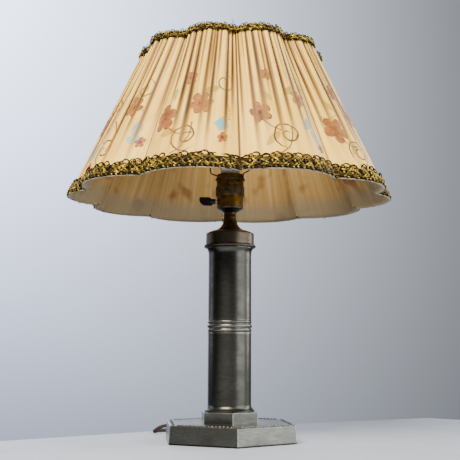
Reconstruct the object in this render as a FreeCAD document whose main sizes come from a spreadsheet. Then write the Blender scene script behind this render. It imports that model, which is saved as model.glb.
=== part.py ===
import FreeCAD, Part
import math
import os
import Sketcher
from FreeCAD import Placement, Rotation, Vector

# Candlestick lamp with a scalloped, pleated silk shade, in millimetres.
# +Z is up, the origin is the centre of the base on the table, and -Y is the front.

doc = FreeCAD.newDocument("candlestick_lamp")

# ---------------------------------------------------------------- driving sizes
SIZES = {
    # hexagonal base and plinth: radii are measured to the corners
    "felt_thickness": 1.0,
    "felt_radius": 95.0,
    "base_radius": 98.1,
    "base_top": 25.2,
    "base_draft": -4.1,
    "base_wall": 3.0,
    "base_edge": 1.1,
    "hexagon_turn": -23.65,
    "bead_radius": 1.5,
    "bead_row": 78.5,
    "ballast_radius": 80.0,
    "ballast_top": 8.0,
    "ballast_hole": 20.0,
    "plinth_radius": 42.1,
    "plinth_top": 40.2,
    # column
    "column_radius": 30.0,
    "column_bore": 28.0,
    "foot_radius": 34.4,
    "band_bottom": 145.3,
    "band_top": 165.3,
    "column_top": 265.4,
    "flare_radius": 32.4,
    "collar_top": 269.6,
    "cap_radius": 33.7,
    "cap_side_top": 284.7,
    "cap_top": 290.7,
    "cone_radius": 17.2,
    "cone_top": 313.4,
    "neck_radius": 8.1,
    # threaded through tube, M10 x 1
    "tube_radius": 5.0,
    "tube_bore": 3.5,
    "tube_bottom": 14.7,
    "nut_top": 20.7,
    # lampholder
    "holder_radius": 18.5,
    "cup_top": 324.4,
    "lower_shell_top": 342.5,
    "union_radius": 20.4,
    "union_bottom": 338.9,
    "union_top": 352.1,
    "upper_radius": 19.2,
    "holder_top": 370.0,
    "core_radius": 15.4,
    "core_bottom": 325.0,
    "core_top": 343.0,
    "slot_level": 359.5,
    "slot_height": 2.6,
    "slot_start": -15.0,
    "slot_sweep": 60.0,
    # key switch
    "key_level": 332.0,
    "spindle_radius": 2.0,
    "spindle_gap": 0.05,
    "key_start": 20.8,
    "key_neck_radius": 3.75,
    "key_thickness": 5.4,
    # bulb and its E27 socket
    "socket_radius": 13.4,
    "cap_crest": 0.6,
    "cap_root_radius": 12.4,
    "bulb_radius": 30.0,
    "bulb_centre": 421.0,
    "glass_wall": 1.0,
    # shade carrier
    "wire_radius": 1.0,
    "carrier_radius": 20.3,
    "carrier_level": 363.0,
    "carrier_turn": -26.0,
    "leg_radius": 32.0,
    "leg_bend": 375.0,
    "seat_level": 493.7,
    "seat_wire": 1.5,
    # shade: radii of the silk at its cusps and at the middle of its lobes
    "shade_turn": 3.3,
    "silk_bottom": 336.0,
    "silk_top": 550.0,
    "cusp_bottom": 204.0,
    "cusp_top": 103.3,
    "lobe_bottom": 226.5,
    "lobe_top": 125.1,
    "silk_thickness": 1.0,
    "pleat_depth": 2.4,
    "braid_bottom": 334.9,
    "braid_height": 20.0,
    "braid_thickness": 3.0,
    "top_braid_bottom": 539.0,
    "top_braid_top": 551.5,
    "top_braid_inside": 2.3,
    "top_braid_outside": 3.8,
    "frame_wire": 1.5,
    "bottom_frame_level": 339.0,
    "top_frame_level": 546.0,
    "fitter_bottom": 495.5,
    "fitter_top": 497.3,
    "fitter_bore": 28.0,
    "fitter_radius": 37.0,
    # cord, wound coil and plug
    "cord_radius": 2.5,
    "cord_level": 13.0,
    "bush_tip": 104.0,
    "coil_inner": 15.5,
    "coil_outer": 40.7,
    "coil_low": 3.4,
    "coil_step": 5.5,
    "plug_start": 12.0,
    "plug_cone": 22.0,
    "plug_length": 30.0,
    "plug_radius": 14.0,
    "pin_radius": 2.0,
    "pin_length": 19.0,
    "pin_spacing": 19.0,
}
LOBES = 10
PLEATS = 8
BEADS = 17
KNURLS = 48
COIL_TURNS = 9
CORD_SIDE = -143.65
COIL_CENTRE = Vector(-15.0, 172.7, 0.0)

sheet = doc.addObject("Spreadsheet::Sheet", "Sizes")
for row, (alias, value) in enumerate(SIZES.items(), start=1):
    sheet.set("A%d" % row, alias)
    sheet.set("B%d" % row, str(value))
    sheet.setAlias("B%d" % row, alias)
doc.recompute()


# ---------------------------------------------------------------- sheet terms
def size(term):
    """A term is a number, an alias of the sheet, or an alias with an offset."""
    if isinstance(term, str):
        return float(sheet.get(term))
    if isinstance(term, tuple):
        return float(sheet.get(term[0])) + term[1]
    return float(term)


def formula(term):
    """The expression that binds a property to the same term."""
    if isinstance(term, str):
        return "Sizes." + term
    if isinstance(term, tuple):
        return "Sizes.%s %s %g" % (term[0], "-" if term[1] < 0 else "+", abs(term[1]))
    return None


def bind(thing, path, term):
    if formula(term):
        thing.setExpression(path, formula(term))
    else:
        setattr(thing, path, term)


def around(radius, degrees, level):
    """A point on a ring: degrees run from the front, positive to the right."""
    turn = math.radians(degrees)
    return Vector(radius * math.sin(turn), -radius * math.cos(turn), level)


# ---------------------------------------------------------------- sketches
def plane(body, role):
    for feature in body.Origin.OriginFeatures:
        if feature.Role == role:
            return feature
    raise ValueError("no plane " + role)


def new_sketch(body, name, role, offset=Placement()):
    sketch = body.newObject("Sketcher::SketchObject", name)
    sketch.AttachmentSupport = [(plane(body, role), "")]
    sketch.MapMode = "FlatFace"
    sketch.AttachmentOffset = offset
    return sketch


def fix_point(sketch, edge, end, across, up, tag):
    """Holds one end of an edge at its two terms, bound to the sheet."""
    for kind, axis, term in (("DistanceX", -2, across), ("DistanceY", -1, up)):
        if term == 0:
            sketch.addConstraint(Sketcher.Constraint("PointOnObject", edge, end, axis))
            continue
        number = sketch.addConstraint(Sketcher.Constraint(kind, edge, end, size(term)))
        name = "%s_%s" % (kind, tag)
        sketch.renameConstraint(number, name)
        if formula(term):
            sketch.setExpression("Constraints." + name, formula(term))


def outline(sketch, points):
    """A closed outline. A third value bulges the edge that arrives at a point to its right."""
    corners = [Vector(size(p[0]), size(p[1]), 0) for p in points]
    ends = []
    for i, corner in enumerate(corners):
        before = corners[i - 1]
        bulge = points[i][2] if len(points[i]) > 2 else 0
        if bulge:
            across = (corner - before).normalize()
            middle = (before + corner) * 0.5 + Vector(across.y, -across.x, 0) * bulge
            edge = Part.Arc(before, middle, corner)
            number = sketch.addGeometry(edge, False)
            radius = sketch.Geometry[number].Radius
            sketch.addConstraint(Sketcher.Constraint("Radius", number, radius))
            # An arc in a sketch runs anticlockwise, so one that bulges left is held the other way.
            ends.append((number, 1, 2) if bulge > 0 else (number, 2, 1))
        else:
            number = sketch.addGeometry(Part.LineSegment(before, corner), False)
            ends.append((number, 1, 2))
    for i, (edge, start, end) in enumerate(ends):
        last_edge, last_start, last_end = ends[i - 1]
        sketch.addConstraint(Sketcher.Constraint("Coincident", last_edge, last_end, edge, start))
        fix_point(sketch, edge, end, points[i][0], points[i][1], str(i))


def hexagon(body, name, radius, level):
    turn = Placement(Vector(0, 0, size(level)), Rotation(Vector(0, 0, 1), size("hexagon_turn")))
    sketch = new_sketch(body, name, "XY_Plane", turn)
    reach = size(radius)
    corners = [
        Vector(reach * math.cos(math.radians(60 * i)), reach * math.sin(math.radians(60 * i)), 0)
        for i in range(6)
    ]
    for i in range(6):
        sketch.addGeometry(Part.LineSegment(corners[i], corners[(i + 1) % 6]), False)
    ring = sketch.addGeometry(Part.Circle(Vector(0, 0, 0), Vector(0, 0, 1), reach), True)
    sketch.addConstraint(Sketcher.Constraint("Coincident", ring, 3, -1, 1))
    number = sketch.addConstraint(Sketcher.Constraint("Radius", ring, reach))
    for i in range(6):
        sketch.addConstraint(Sketcher.Constraint("Coincident", i, 2, (i + 1) % 6, 1))
        sketch.addConstraint(Sketcher.Constraint("PointOnObject", i, 1, ring))
        if i:
            sketch.addConstraint(Sketcher.Constraint("Equal", 0, i))
    sketch.addConstraint(Sketcher.Constraint("PointOnObject", 0, 1, -1))
    sketch.renameConstraint(number, "corner_radius")
    if formula(radius):
        sketch.setExpression("Constraints.corner_radius", formula(radius))
    return sketch


# ---------------------------------------------------------------- parts
sub_parts = []


def keep(thing, label):
    thing.Label = label
    sub_parts.append(thing)
    return thing


def new_body(name):
    return doc.addObject("PartDesign::Body", name)


def turned(label, points):
    """A piece turned about Z from a profile of (radius, height) terms."""
    body = new_body(label)
    sketch = new_sketch(body, label + "_profile", "XZ_Plane")
    outline(sketch, points)
    spin = body.newObject("PartDesign::Revolution", label + "_turning")
    spin.Profile = sketch
    spin.ReferenceAxis = (sketch, ["V_Axis"])
    spin.Angle = 360
    return keep(body, label)


def primitive(kind, name, placement=Placement(), **terms):
    thing = doc.addObject("Part::" + kind, name)
    for path, term in terms.items():
        bind(thing, path, term)
    thing.Placement = placement
    return thing


def cut(label, base, *tools):
    """Base less its tools. The result takes the place of the base among the sub-parts."""
    for number, tool in enumerate(tools):
        result = doc.addObject("Part::Cut", "%s_cut_%d" % (label, number))
        result.Base = base
        result.Tool = tool
        base = result
    return base


def fused(name, things):
    result = doc.addObject("Part::MultiFuse", name)
    result.Shapes = things
    return result


def placed(level, turn=0.0, across=0.0, depth=0.0):
    return Placement(Vector(across, depth, level), Rotation(Vector(0, 0, 1), turn))


def pointing(start, direction):
    return Placement(start, Rotation(Vector(0, 0, 1), direction))


def shaped(label, shape):
    thing = doc.addObject("Part::Feature", label)
    thing.Shape = shape
    return keep(thing, label)


def profile_wire(points):
    """The same kind of outline as outline() draws, as a wire in the XZ plane."""
    edges = []
    for i, point in enumerate(points):
        start = Vector(points[i - 1][0], 0, points[i - 1][1])
        end = Vector(point[0], 0, point[1])
        if len(point) > 2:
            across = (end - start).normalize()
            middle = (start + end) * 0.5 + Vector(across.z, 0, -across.x) * point[2]
            edges.append(Part.Arc(start, middle, end).toShape())
        else:
            edges.append(Part.LineSegment(start, end).toShape())
    return Part.Wire(edges)


# ---------------------------------------------------------------- wires and tubes
def arc_over(start, corner, end):
    """The arc that leaves start towards corner and reaches end, both as far from corner."""
    middle = (start + end) * 0.5
    half = (end - start).Length / 2
    rise = (corner - middle).Length
    sag = half * math.tan(math.atan2(rise, half) / 2)
    return Part.Arc(start, middle + (corner - middle).normalize() * sag, end).toShape()


def rounded_route(points, share=0.45):
    """Straight runs joined by tangent arcs, each as large as its two runs allow."""
    edges = []
    radii = []
    last = points[0]
    for i in range(1, len(points) - 1):
        before = points[i] - points[i - 1]
        after = points[i + 1] - points[i]
        trim = share * min(before.Length, after.Length)
        start = points[i] - before.normalize() * trim
        end = points[i] + after.normalize() * trim
        edges.append(Part.LineSegment(last, start).toShape())
        edges.append(arc_over(start, points[i], end))
        half_turn = before.getAngle(after) / 2
        radii.append(trim / math.tan(half_turn))
        last = end
    edges.append(Part.LineSegment(last, points[-1]).toShape())
    return Part.Wire(edges), radii


def tube(path, radius):
    first = path.Edges[0]
    start = first.valueAt(first.FirstParameter)
    along = first.tangentAt(first.FirstParameter)
    section = Part.Wire([Part.Circle(start, along, radius).toShape()])
    solid = path.makePipeShell([section], True, False)
    expected = math.pi * radius**2 * path.Length
    print("tube: length %.1f, volume over section times length %.4f" % (
        path.Length, abs(solid.Volume) / expected))
    return solid


def rod(start, end, radius):
    return Part.makeCylinder(radius, (end - start).Length, start, end - start)


# ================================================================ base
TUBE_CLEAR = 0.2

keep(primitive("Prism", "felt_sheet", placed(0, size("hexagon_turn")), Polygon=6,
               Circumradius="felt_radius", Height="felt_thickness"), "base_felt")

base_body = new_body("base_casting")
outer = hexagon(base_body, "base_outline", "base_radius", "felt_thickness")
pad = base_body.newObject("PartDesign::Pad", "base_block")
pad.Profile = outer
pad.setExpression("Length", "Sizes.base_top - Sizes.felt_thickness")
pad.setExpression("TaperAngle", "Sizes.base_draft")
doc.recompute()
solid_volume = base_body.Shape.Volume
top_edges = [
    "Edge%d" % (i + 1) for i, edge in enumerate(pad.Shape.Edges)
    if edge.BoundBox.ZMin > size("base_top") - 0.01
]
bevel = base_body.newObject("PartDesign::Chamfer", "base_bevel")
bevel.Base = (pad, top_edges)
bevel.setExpression("Size", "Sizes.base_edge")
doc.recompute()
inner = hexagon(base_body, "base_hollow_outline", ("base_radius", -5.5), "felt_thickness")
hollow = base_body.newObject("PartDesign::Pocket", "base_hollow")
hollow.Profile = inner
hollow.Reversed = True
hollow.setExpression("Length", "Sizes.base_top - Sizes.felt_thickness - Sizes.base_wall")
doc.recompute()
print("base: solid %.0f, hollow %.0f" % (solid_volume, base_body.Shape.Volume))

cord_way = around(1.0, CORD_SIDE, 0)
bush_start = cord_way * 70 + Vector(0, 0, size("cord_level"))
tube_hole = primitive("Cylinder", "base_tube_hole", placed(0), Radius=("tube_radius", TUBE_CLEAR),
                      Height=("base_top", 5))
cord_hole = primitive("Cylinder", "base_cord_hole", pointing(bush_start, cord_way),
                      Radius=5.5, Height=30)
keep(cut("base", base_body, tube_hole, cord_hole), "base_shell")

# Six rows of small beads just inside the top edge.
row_length = 2 * size("bead_row") * math.tan(math.radians(30))
bead_step = row_length / BEADS
strip = Part.makeBox(row_length - 2 * bead_step, 1.6, 0.6,
                     Vector(bead_step - row_length / 2, size("bead_row") - 0.8, size("base_top")))
beads = [
    Part.makeSphere(size("bead_radius"), Vector((i + 0.5) * bead_step - row_length / 2,
                                                size("bead_row"), size("base_top")),
                    Vector(0, 0, 1), 0, 90)
    for i in range(BEADS)
]
bead_strip = strip.multiFuse(beads[1:-1])
strips = []
for side in range(6):
    copy = bead_strip.copy()
    copy.rotate(Vector(0, 0, 0), Vector(0, 0, 1), size("hexagon_turn") + 60 * side)
    strips.append(copy)
shaped("bead_border", Part.makeCompound(strips))

ballast = primitive("Prism", "ballast_block", placed(size("felt_thickness"), size("hexagon_turn")),
                    Polygon=6, Circumradius="ballast_radius")
ballast.setExpression("Height", "Sizes.ballast_top - Sizes.felt_thickness")
ballast_hole = primitive("Cylinder", "ballast_bore", placed(0), Radius="ballast_hole",
                         Height=("ballast_top", 1))
channel = primitive("Box", "ballast_channel",
                    placed(0, CORD_SIDE - 90) * Placement(Vector(0, -6, 0), Rotation()),
                    Length=90, Width=12, Height=("ballast_top", 1))
keep(cut("ballast", ballast, ballast_hole, channel), "ballast_plate")

nut = primitive("Prism", "nut_block", placed(size("tube_bottom")), Polygon=6, Circumradius=9.8)
nut.setExpression("Height", "Sizes.nut_top - Sizes.tube_bottom")
nut_bore = primitive("Cylinder", "nut_bore", placed(0), Radius="tube_radius", Height=60)
keep(cut("nut", nut, nut_bore), "base_nut")
turned("base_washer", [("tube_radius", "nut_top"), (12.0, "nut_top"), (12.0, ("nut_top", 1.5)),
                       ("tube_radius", ("nut_top", 1.5))])
turned("through_tube", [("tube_bore", "tube_bottom"), ("tube_radius", "tube_bottom"),
                        ("tube_radius", ("cup_top", -4.4)), ("tube_bore", ("cup_top", -4.4))])

plinth_body = new_body("plinth_block")
plinth_outline = hexagon(plinth_body, "plinth_outline", "plinth_radius", "base_top")
plinth_pad = plinth_body.newObject("PartDesign::Pad", "plinth_pad")
plinth_pad.Profile = plinth_outline
plinth_pad.setExpression("Length", "Sizes.plinth_top - Sizes.base_top")
doc.recompute()
plinth_edges = [
    "Edge%d" % (i + 1) for i, edge in enumerate(plinth_pad.Shape.Edges)
    if edge.BoundBox.ZMin > size("plinth_top") - 0.01
]
plinth_bevel = plinth_body.newObject("PartDesign::Chamfer", "plinth_bevel")
plinth_bevel.Base = (plinth_pad, plinth_edges)
plinth_bevel.Size = 0.6
doc.recompute()
plinth_bore = primitive("Cylinder", "plinth_bore", placed(0), Radius=("tube_radius", TUBE_CLEAR),
                        Height=60)
plinth_room = primitive("Cylinder", "plinth_room", placed(0), Radius="column_bore",
                        Height=("plinth_top", -4.0))
keep(cut("plinth", plinth_body, plinth_bore, plinth_room), "plinth")

# ================================================================ column
turned("column_lower", [
    ("column_bore", "plinth_top"), ("foot_radius", "plinth_top"),
    ("foot_radius", ("plinth_top", 1.2)), (("foot_radius", -1.0), ("plinth_top", 2.4)),
    ("column_radius", ("plinth_top", 9.3), -1.0), ("column_radius", "band_bottom"),
    ("column_bore", "band_bottom")])
turned("column_band", [
    ("column_bore", "band_bottom"), (("column_radius", 0.3), "band_bottom"),
    (("column_radius", 0.3), ("band_bottom", 2.4)), (("column_radius", -0.7), ("band_bottom", 3.0)),
    (("column_radius", -0.7), ("band_bottom", 7.4), 1.3),
    (("column_radius", -0.7), ("band_bottom", 8.0)),
    (("column_radius", -0.7), ("band_bottom", 13.7), 1.9),
    (("column_radius", -0.7), ("band_bottom", 14.3)),
    (("column_radius", -0.7), ("band_bottom", 18.6), 1.4),
    (("column_radius", 0.3), ("band_bottom", 19.1)), (("column_radius", 0.3), "band_top"),
    ("column_bore", "band_top")])
turned("column_upper", [
    ("column_bore", "band_top"), ("column_radius", "band_top"),
    ("column_radius", ("column_top", -9.0)), ("flare_radius", ("column_top", -1.4), -0.6),
    ("flare_radius", "column_top"), ("column_bore", "column_top")])
turned("collar_ring", [
    (24.0, "column_top"), (34.6, "column_top"), (34.6, "collar_top", 1.7), (24.0, "collar_top")])
turned("top_cap", [
    (("cap_radius", -3.0), "collar_top"), ("cap_radius", "collar_top"),
    ("cap_radius", "cap_side_top"), (("cap_radius", -1.1), ("cap_side_top", 1.2), 0.3),
    ("cone_radius", "cap_top", 0.9), (("tube_radius", TUBE_CLEAR), "cap_top"),
    (("tube_radius", TUBE_CLEAR), ("cap_top", -3.0)), ("cone_radius", ("cap_top", -3.2)),
    (("cap_radius", -3.0), ("cap_side_top", -1.8))])
turned("brass_cone", [
    (("tube_radius", TUBE_CLEAR), "cap_top"), ("cone_radius", "cap_top"),
    ("cone_radius", ("cap_top", 1.6), 0.5), (("cone_radius", -1.5), ("cap_top", 2.2)),
    (8.9, ("cap_top", 18.3), -2.0), ("neck_radius", "cone_top"),
    (("tube_radius", TUBE_CLEAR), "cone_top")])

# ================================================================ lampholder
turned("holder_cup", [
    ("tube_radius", "cone_top"), (8.6, "cone_top"), (8.6, ("cone_top", 1.8)),
    (12.5, ("cone_top", 4.7)), (17.4, ("cone_top", 7.4)), (18.3, ("cone_top", 8.8), 0.3),
    (18.3, "cup_top"), (17.5, "cup_top"), (17.5, ("cone_top", 9.3)),
    (12.2, ("cone_top", 6.1)), (8.9, ("cone_top", 4.8)), (8.9, ("cup_top", -4.4)),
    ("tube_radius", ("cup_top", -4.4))])

lower_shell = turned("holder_lower_tube", [
    (("holder_radius", -0.8), "cup_top"), ("holder_radius", "cup_top"),
    ("holder_radius", "lower_shell_top"), (("holder_radius", -0.8), "lower_shell_top")])
sub_parts.remove(lower_shell)
key_axis = Vector(-1, 0, 0)
spindle_hole = primitive("Cylinder", "spindle_hole",
                         pointing(Vector(-10, 0, size("key_level")), key_axis), Height=15)
spindle_hole.setExpression("Radius", "Sizes.spindle_radius + Sizes.spindle_gap")
keep(cut("lower_shell", lower_shell, spindle_hole), "holder_lower_shell")

union = turned("union_blank", [
    (("holder_radius", 0.1), "union_bottom"), (("union_radius", -0.5), "union_bottom"),
    ("union_radius", ("union_bottom", 0.7)), ("union_radius", ("union_top", -0.7)),
    (("union_radius", -0.5), "union_top"), (("holder_radius", 0.1), "union_top")])
sub_parts.remove(union)
doc.recompute()
flute = new_sketch(union, "flute", "XY_Plane", placed(size("union_bottom") + 1.4))
flute_circle = flute.addGeometry(Part.Circle(Vector(20.75, 0, 0), Vector(0, 0, 1), 0.75), False)
flute.addConstraint(Sketcher.Constraint("Radius", flute_circle, 0.75))
flute.addConstraint(Sketcher.Constraint("PointOnObject", flute_circle, 3, -1))
flute.addConstraint(Sketcher.Constraint("DistanceX", flute_circle, 3, 20.75))
groove = union.newObject("PartDesign::Pocket", "flute_cut")
groove.Profile = flute
groove.Reversed = True
groove.Length = 10.4
knurl = union.newObject("PartDesign::PolarPattern", "knurl")
knurl.Originals = [groove]
knurl.Axis = (flute, ["N_Axis"])
knurl.Angle = 360
knurl.Occurrences = KNURLS
union.Tip = knurl
keep(union, "union_ring")

upper_shell = turned("holder_upper_tube", [
    (("holder_radius", -0.8), ("lower_shell_top", 0.2)),
    ("holder_radius", ("lower_shell_top", 0.2)), ("holder_radius", ("union_top", 0.3)),
    ("upper_radius", ("union_top", 0.9)), ("upper_radius", ("holder_top", -0.6)),
    (("upper_radius", -0.4), "holder_top"), (("upper_radius", -0.9), "holder_top"),
    (("upper_radius", -0.9), ("union_top", 1.3)), (("holder_radius", -0.8), ("union_top", 0.7))])
sub_parts.remove(upper_shell)
slot_tools = []
for half in (0, 180):
    first = size("slot_start") - 90 + half
    arm = primitive("Cylinder", "slot_arm_%d" % half,
                    placed(size("slot_level") - size("slot_height") / 2, first),
                    Radius=23, Height="slot_height", Angle="slot_sweep")
    drop = primitive("Box", "slot_drop_%d" % half, placed(355.0, first),
                     Length=23, Width=2.6, Height=9.5)
    arms = fused("slot_shape_%d" % half, [arm, drop])
    core = primitive("Cylinder", "slot_middle_%d" % half, placed(350), Radius=17, Height=20)
    slot_tools.append(cut("slot_%d" % half, arms, core))
keep(cut("upper_shell", upper_shell, *slot_tools), "holder_upper_shell")

core_block = turned("core_block", [
    (0, "core_bottom"), ("core_radius", "core_bottom"), ("core_radius", "core_top"),
    (0, "core_top")])
sub_parts.remove(core_block)
rotor_room = primitive("Cylinder", "rotor_room",
                       pointing(Vector(-3.5, 0, size("key_level")), key_axis),
                       Radius=5.3, Height=20)
screw_holes = [
    primitive("Cylinder", "terminal_hole_%d" % i, placed(size("core_bottom") - 1, 0, 0, y),
              Radius=1.6, Height=7)
    for i, y in enumerate((-9.0, 9.0))
]
keep(cut("core", core_block, rotor_room, *screw_holes), "holder_core")
terminals = []
for y in (-9.0, 9.0):
    foot = Vector(0, y, size("core_bottom"))
    terminals.append(rod(foot, foot + Vector(0, 0, 5.5), 1.6).fuse(
        rod(foot - Vector(0, 0, 1.8), foot, 2.8)))
shaped("terminal_screws", Part.makeCompound(terminals))
turned("insulating_sleeve", [
    (14.4, ("core_top", 0.2)), ("core_radius", ("core_top", 0.2)),
    ("core_radius", ("holder_top", -1.0)), (14.4, ("holder_top", -1.0))])
turned("screw_shell", [
    (3.5, ("core_top", 0.2)), (("socket_radius", 0.5), ("core_top", 0.2)),
    (("socket_radius", 0.5), ("holder_top", -1.5)), ("socket_radius", ("holder_top", -1.5)),
    ("socket_radius", ("core_top", 0.8)), (3.5, ("core_top", 0.8))])
turned("centre_contact", [
    (0, "core_top"), (2.8, "core_top"), (2.8, ("core_top", 0.6)), (2.0, ("core_top", 1.2)),
    (0, ("core_top", 1.5))])

# ================================================================ key switch
paddle_body = new_body("paddle")
paddle_sketch = new_sketch(paddle_body, "paddle_outline", "XZ_Plane")
outline(paddle_sketch, [
    (-24.5, ("key_level", -3.6)), (-26.0, ("key_level", -6.4)), (-36.0, ("key_level", -6.4)),
    (-43.6, ("key_level", 1.0), -1.6), (-43.6, ("key_level", 3.6)),
    (-41.4, ("key_level", 5.8), -0.8), (-29.5, ("key_level", 5.8)),
    (-26.5, ("key_level", 3.6))])
paddle = paddle_body.newObject("PartDesign::Pad", "paddle_pad")
paddle.Profile = paddle_sketch
paddle.setExpression("Length", "Sizes.key_thickness")
paddle.Midplane = True
doc.recompute()
paddle_round = paddle_body.newObject("PartDesign::Fillet", "paddle_round")
paddle_round.Base = (paddle, [
    "Edge%d" % (i + 1) for i, edge in enumerate(paddle.Shape.Edges)
    if edge.BoundBox.YLength < 0.01 and edge.Length > 6])
paddle_round.Radius = 0.8
neck = primitive("Cylinder", "key_neck",
                 pointing(Vector(-size("key_start"), 0, size("key_level")), key_axis),
                 Radius="key_neck_radius", Height=7.5)
key_bore = primitive("Cylinder", "key_bore",
                     pointing(Vector(-size("key_start") + 1, 0, size("key_level")), key_axis),
                     Radius="spindle_radius", Height=5)
keep(cut("key", fused("key_solid", [paddle_body, neck]), key_bore), "switch_key")
spindle = primitive("Cylinder", "spindle",
                    pointing(Vector(-14.5, 0, size("key_level")), key_axis),
                    Radius="spindle_radius", Height=10.3)
keep(spindle, "switch_spindle")
drum = primitive("Cylinder", "rotor_drum", pointing(Vector(-4.5, 0, size("key_level")), key_axis),
                 Radius=4.6, Height=10)
flat = primitive("Box", "rotor_flat", placed(size("key_level") + 2.6, 0, -12.5, -6),
                 Length=6, Width=12, Height=4)
keep(cut("rotor", drum, flat), "switch_rotor")

# ================================================================ bulb
turned("bulb_contact", [(0, 344.9), (2.5, 345.2, 0.1), (3.1, 346.2), (3.1, 348.4), (0, 348.4)])
turned("bulb_insulator", [(3.2, 345.8), (5.2, 345.6), (9.2, 348.6), (9.0, 349.4), (3.2, 349.4)])
cap_points = [(9.4, 348.8), ("cap_root_radius", 350.2)]
for ridge in range(1, 5):
    cap_points.append(("cap_root_radius", 350.2 + 3.63 * ridge, SIZES["cap_crest"]))
cap_points += [(13.0, 366.0), (13.1, 371.6), (12.7, 371.6), (12.0, 365.0), (12.0, 350.9),
               (9.2, 349.6)]
turned("bulb_cap", cap_points)


def globe(radius):
    """Where the neck runs into the round of a globe, and the bulge of the arc up to its pole."""
    below = math.radians(35)
    rise = radius * (1 - math.cos((math.pi / 2 + below) / 2))
    return radius * math.cos(below), size("bulb_centre") - radius * math.sin(below), rise


glass_r, glass_z, glass_rise = globe(size("bulb_radius"))
inner_r, inner_z, inner_rise = globe(size("bulb_radius") - size("glass_wall"))
glass_profile = [
    (10.8, 366.0), (11.7, 366.0), (11.7, 371.8), (14.0, 375.0), (glass_r, glass_z, -2.36),
    (0, size("bulb_centre") + size("bulb_radius"), glass_rise),
    (0, size("bulb_centre") + size("bulb_radius") - size("glass_wall")),
    (inner_r, inner_z, -inner_rise), (13.0, 375.4, 2.3), (10.8, 372.2)]
shaped("bulb_glass", Part.Face(profile_wire(glass_profile)).revolve(
    Vector(0, 0, 0), Vector(0, 0, 1), 360))
turned("bulb_stem", [(0, 366.4), (10.2, 366.4), (10.2, 367.2), (3.2, 374.0, -1.5),
                     (2.6, 398.0), (0, 398.0)])
lead_top = 412.0
filament_parts = [
    rod(Vector(side * 1.5, 0, 397.0), Vector(side * 9.0, 0, lead_top), 0.4) for side in (-1, 1)]
filament_arc = Part.Wire([
    Part.Arc(Vector(-9, 0, lead_top), Vector(0, -7, lead_top + 1), Vector(9, 0, lead_top)).toShape()])
filament_parts.append(tube(filament_arc, 0.4))
shaped("filament", filament_parts[0].multiFuse(filament_parts[1:]))

# ================================================================ shade carrier
ring_shape = primitive("Torus", "carrier_wire", placed(size("carrier_level")),
                       Radius1="carrier_radius", Radius2="wire_radius")
pin_shapes = [ring_shape]
for half in (0, 180):
    angle = size("slot_start") + size("slot_sweep") - 3.6 + half
    outside = around(size("carrier_radius"), angle, size("slot_level"))
    inside = around(18.0, angle, size("slot_level"))
    pin_shapes.append(primitive("Cylinder", "carrier_pin_%d" % half,
                                pointing(inside, outside - inside), Radius="wire_radius"))
    pin_shapes[-1].setExpression("Height", "Sizes.carrier_radius - 18")
    pin_shapes.append(primitive("Cylinder", "carrier_post_%d" % half,
                                pointing(outside - Vector(0, 0, 1.3), Vector(0, 0, 1)),
                                Radius=("wire_radius", -0.2)))
    pin_shapes[-1].setExpression("Height", "Sizes.carrier_level - Sizes.slot_level + 1.3")
keep(fused("carrier_ring_solid", pin_shapes), "carrier_ring")

legs = []
for half in (0, 180):
    turn = Rotation(Vector(0, 0, 1), size("carrier_turn") + half)
    route = [
        Vector(size("carrier_radius"), 0, size("carrier_level")),
        Vector(size("carrier_radius"), 0, size("holder_top") + 0.8),
        Vector(size("leg_radius"), 0, size("leg_bend")),
        Vector(size("leg_radius"), 0, size("seat_level")),
    ]
    path, leg_radii = rounded_route([turn.multVec(point) for point in route], 0.35)
    legs.append(tube(path, size("wire_radius")))
shaped("carrier_legs", Part.makeCompound(legs))
keep(primitive("Torus", "seat_wire_ring", placed(size("seat_level")),
               Radius1="leg_radius", Radius2="seat_wire"), "carrier_seat")


# ================================================================ shade
def silk_radius(where, level):
    """Radius of the silk at a cusp or in the middle of a lobe, on its straight slope."""
    low = size("silk_bottom")
    share = (level - low) / (size("silk_top") - low)
    return size(where + "_bottom") + share * (size(where + "_top") - size(where + "_bottom"))


def lobe_points(lobe, level, offset, parts):
    """Points that divide one lobe's arc, each moved outwards by offset along its radius."""
    left = around(silk_radius("cusp", level), lobe * 360 / LOBES + size("shade_turn"), level)
    middle = around(silk_radius("lobe", level), (lobe + 0.5) * 360 / LOBES + size("shade_turn"),
                    level)
    right = around(silk_radius("cusp", level), (lobe + 1) * 360 / LOBES + size("shade_turn"), level)
    arc = Part.Arc(left, middle, right)
    points = []
    for i in range(parts + 1):
        share = i / parts
        point = arc.value(arc.FirstParameter + share * (arc.LastParameter - arc.FirstParameter))
        outwards = Vector(point.x, point.y, 0).normalize()
        points.append(point + outwards * offset)
    if (points[0] - left).Length > (points[-1] - left).Length:
        points.reverse()
    return points


def lobe_edges(lobe, level, offset, pleats, depth):
    """One arc for each pleat, with its crest out and its valleys in by half the depth."""
    points = lobe_points(lobe, level, offset, 2 * pleats)
    for i in range(1, len(points) - 1):
        outwards = Vector(points[i].x, points[i].y, 0).normalize()
        points[i] = points[i] + outwards * (depth / 2 if i % 2 else -depth / 2)
    return [
        Part.Arc(points[i], points[i + 1], points[i + 2]).toShape()
        for i in range(0, len(points) - 2, 2)
    ]


def lobe_section(lobe, level, inner_offset, outer_offset, pleats, depth):
    outside = lobe_edges(lobe, level, outer_offset, pleats, depth)
    inside = lobe_edges(lobe, level, inner_offset, pleats, depth)
    first_out = outside[0].Vertexes[0].Point
    last_out = outside[-1].Vertexes[-1].Point
    first_in = inside[0].Vertexes[0].Point
    last_in = inside[-1].Vertexes[-1].Point
    closing = Part.LineSegment(last_out, last_in).toShape()
    opening = Part.LineSegment(first_in, first_out).toShape()
    return Part.Wire(outside + [closing] + list(reversed(inside)) + [opening])


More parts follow.
